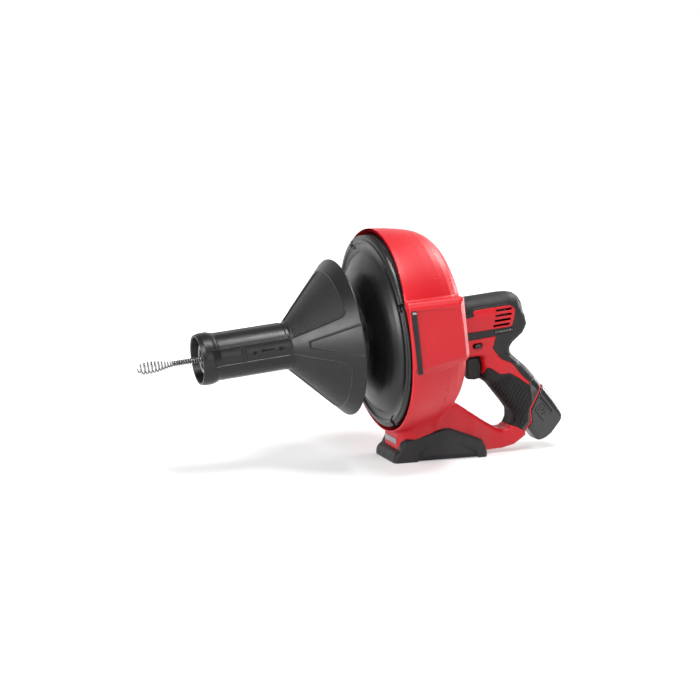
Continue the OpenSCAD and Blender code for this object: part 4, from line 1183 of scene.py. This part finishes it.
# cable: wound wire over the straight run, and the bulb head
P = np.array([[x, 0.0, 0.0] for x in np.linspace(-286.0, -100.6, 60)])
lead = close_wound("cable_lead_wound", t_points(P), 4.0, 3.1, 0.95, 8)
fix_normals(lead)
dress(lead, CABLE)
core = wire_tube("cable_lead_core", t_points(np.array([[x, 0.0, 0.0] for x in np.linspace(-286.5, -100.5, 24)])), 2.5, 16)
fix_normals(core)
dress(core, DARKST)
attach(lead, "cable")
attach(core, "cable")
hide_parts("cable_lead")


def bulb_r(t):
    swell = 2.9 + 4.4 * sstep(np.clip((t - 0.04) / 0.66, 0, 1))
    return float(swell * (1 - 0.45 * sstep(np.clip((t - 0.86) / 0.14, 0, 1))))


TURNS = 11
H = []
for i in range(TURNS * 36 + 1):
    t = i / (TURNS * 36.0)
    a = 2 * math.pi * TURNS * t
    r = bulb_r(t)
    H.append([-286.3 - 47.5 * math.pow(t, 1.22), r * math.cos(a), r * math.sin(a)])
head = wire_tube("bulb_head_wire", t_points(np.array(H)), 1.0, 12)
fix_normals(head)
dress(head, CABLE)
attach(head, "cable")
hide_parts("auger_head")

# carried-over nodes
for nm, mt in (("housing_screws", STEEL), ("gearcase", ZINC), ("output_bearing", STEEL), ("ring_gear", STEEL), ("motor_can", DARKST), ("motor_magnets", DRUM),
               ("motor_endcap", DRUM), ("motor_rotor", COPPER), ("motor_pinion", STEEL), ("cooling_fan", DRUM), ("first_carrier", STEEL), ("planet_a1", STEEL),
               ("planet_a2", STEEL), ("planet_a3", STEEL), ("planet_b1", STEEL), ("planet_b2", STEEL), ("planet_b3", STEEL), ("output_carrier", STEEL),
               ("drum_rear", DRUM), ("drum_screws", STEEL), ("spout_tube", ZINC), ("cable_guide", DRUM), ("cable_coil", CABLE), ("chuck_collar", ZINC),
               ("sleeve_bearings", STEEL), ("jaw_1", STEEL), ("jaw_2", STEEL), ("jaw_3", STEEL), ("trigger_switch", DRUM), ("control_board", BOARD),
               ("terminal_block", DRUM), ("motor_leads", LEAD), ("battery_cells", CELL)):
    dress_node(nm, mt)
    o = NODES[nm]
    if nm not in ("cable_coil", "motor_leads"):
        md = o.modifiers.new("edge_break", "BEVEL")
        md.width = 0.00025
        md.segments = 2
        md.limit_method = "ANGLE"
        md.angle_limit = math.radians(35)

# ------------------------------------------------------------------ camera, floor, light
cam_d = bpy.data.cameras.new("camera")
cam = bpy.data.objects.new("camera", cam_d)
bpy.context.scene.collection.objects.link(cam)
loc = Vector((-0.9543, -2.3312, 0.5493))
tgt = Vector((-0.1215, 0.0, 0.1555))
cam.location = loc
cam.rotation_euler = (tgt - loc).to_track_quat("-Z", "Y").to_euler()
cam_d.lens = 94.11
cam_d.sensor_width = 36
cam_d.clip_end = 50
bpy.context.scene.camera = cam

fl_me = bpy.data.meshes.new("floor")
fl_me.from_pydata([(-6, -6, 0), (6, -6, 0), (6, 6, 0), (-6, 6, 0)], [], [(0, 1, 2, 3)])
floor = bpy.data.objects.new("floor", fl_me)
bpy.context.scene.collection.objects.link(floor)
fm = Mat("floor_pale")
n = fm.noise(3.0, 3.0, 0.5)
fm.link(fm.mix(fm.ramp(n, 0.3, 0.7, 0.0, 1.0), (0.50, 0.50, 0.50), (0.53, 0.53, 0.53)), fm.b.inputs["Base Color"])
fm.set(Roughness=0.9, Specular_IOR_Level=0.1)
tcf = fm.node("ShaderNodeTexCoord")
ln = fm.node("ShaderNodeVectorMath", operation="LENGTH")
fm.link(tcf.outputs["Object"], ln.inputs[0])
fm.link(fm.ramp(ln.outputs["Value"], 0.35, 1.6, 0.42, 1.0), fm.b.inputs["Emission Strength"])
fm.b.inputs["Emission Color"].default_value = (1, 1, 1, 1)
floor.data.materials.append(fm.m)


def area(name, at, to, size, size_y, power, col=(1, 1, 1)):
    ld = bpy.data.lights.new(name, "AREA")
    ld.shape = "RECTANGLE"
    ld.size, ld.size_y = size, size_y
    ld.energy = power
    ld.color = col
    lo = bpy.data.objects.new(name, ld)
    bpy.context.scene.collection.objects.link(lo)
    lo.location = at
    lo.rotation_euler = (Vector(to) - Vector(at)).to_track_quat("-Z", "Y").to_euler()
    return lo


area("key_top_left", (-1.4, -1.5, 2.1), (-0.05, 0, 0.15), 1.0, 1.0, 45)
area("left_box", (-2.2, -0.5, 0.45), (-0.2, 0, 0.17), 0.6, 0.8, 26)
area("fill_front", (0.5, -2.9, 1.0), (0.0, 0, 0.15), 1.2, 0.9, 14)
area("top", (0.22, -0.42, 2.3), (0.0, 0, 0.2), 0.7, 0.7, 36)
area("right_box", (2.0, 0.5, 0.5), (0.1, 0, 0.15), 0.8, 0.9, 30)
area("sheen", (1.6, 0.85, 1.7), (0.0, 0, 0.2), 0.7, 0.7, 26)

w = bpy.data.worlds.new("studio")
bpy.context.scene.world = w
w.use_nodes = True
wt = w.node_tree
bg = wt.nodes["Background"]
tc = wt.nodes.new("ShaderNodeTexCoord")
sx = wt.nodes.new("ShaderNodeSeparateXYZ")
wt.links.new(tc.outputs["Generated"], sx.inputs[0])
mr = wt.nodes.new("ShaderNodeMapRange")
mr.interpolation_type = "SMOOTHSTEP"
mr.inputs["From Min"].default_value = 0.25
mr.inputs["From Max"].default_value = 0.85
mr.inputs["To Min"].default_value = 0.12
mr.inputs["To Max"].default_value = 1.02
wt.links.new(sx.outputs["Y"], mr.inputs["Value"])
mz = wt.nodes.new("ShaderNodeMapRange")
mz.interpolation_type = "SMOOTHSTEP"
mz.inputs["From Min"].default_value = 0.22
mz.inputs["From Max"].default_value = 0.60
mz.inputs["To Min"].default_value = 1.0
mz.inputs["To Max"].default_value = 0.35
wt.links.new(sx.outputs["Z"], mz.inputs["Value"])
mm = wt.nodes.new("ShaderNodeMath")
mm.operation = "MULTIPLY"
wt.links.new(mr.outputs["Result"], mm.inputs[0])
wt.links.new(mz.outputs["Result"], mm.inputs[1])
wt.links.new(mm.outputs[0], bg.inputs[1])
bg.inputs[0].default_value = (1, 1, 1, 1)
bpy.context.scene.view_settings.view_transform = "Standard"
bpy.context.scene.view_settings.look = "None"

print("BUILD %.1fs" % (time.time() - T0), flush=True)
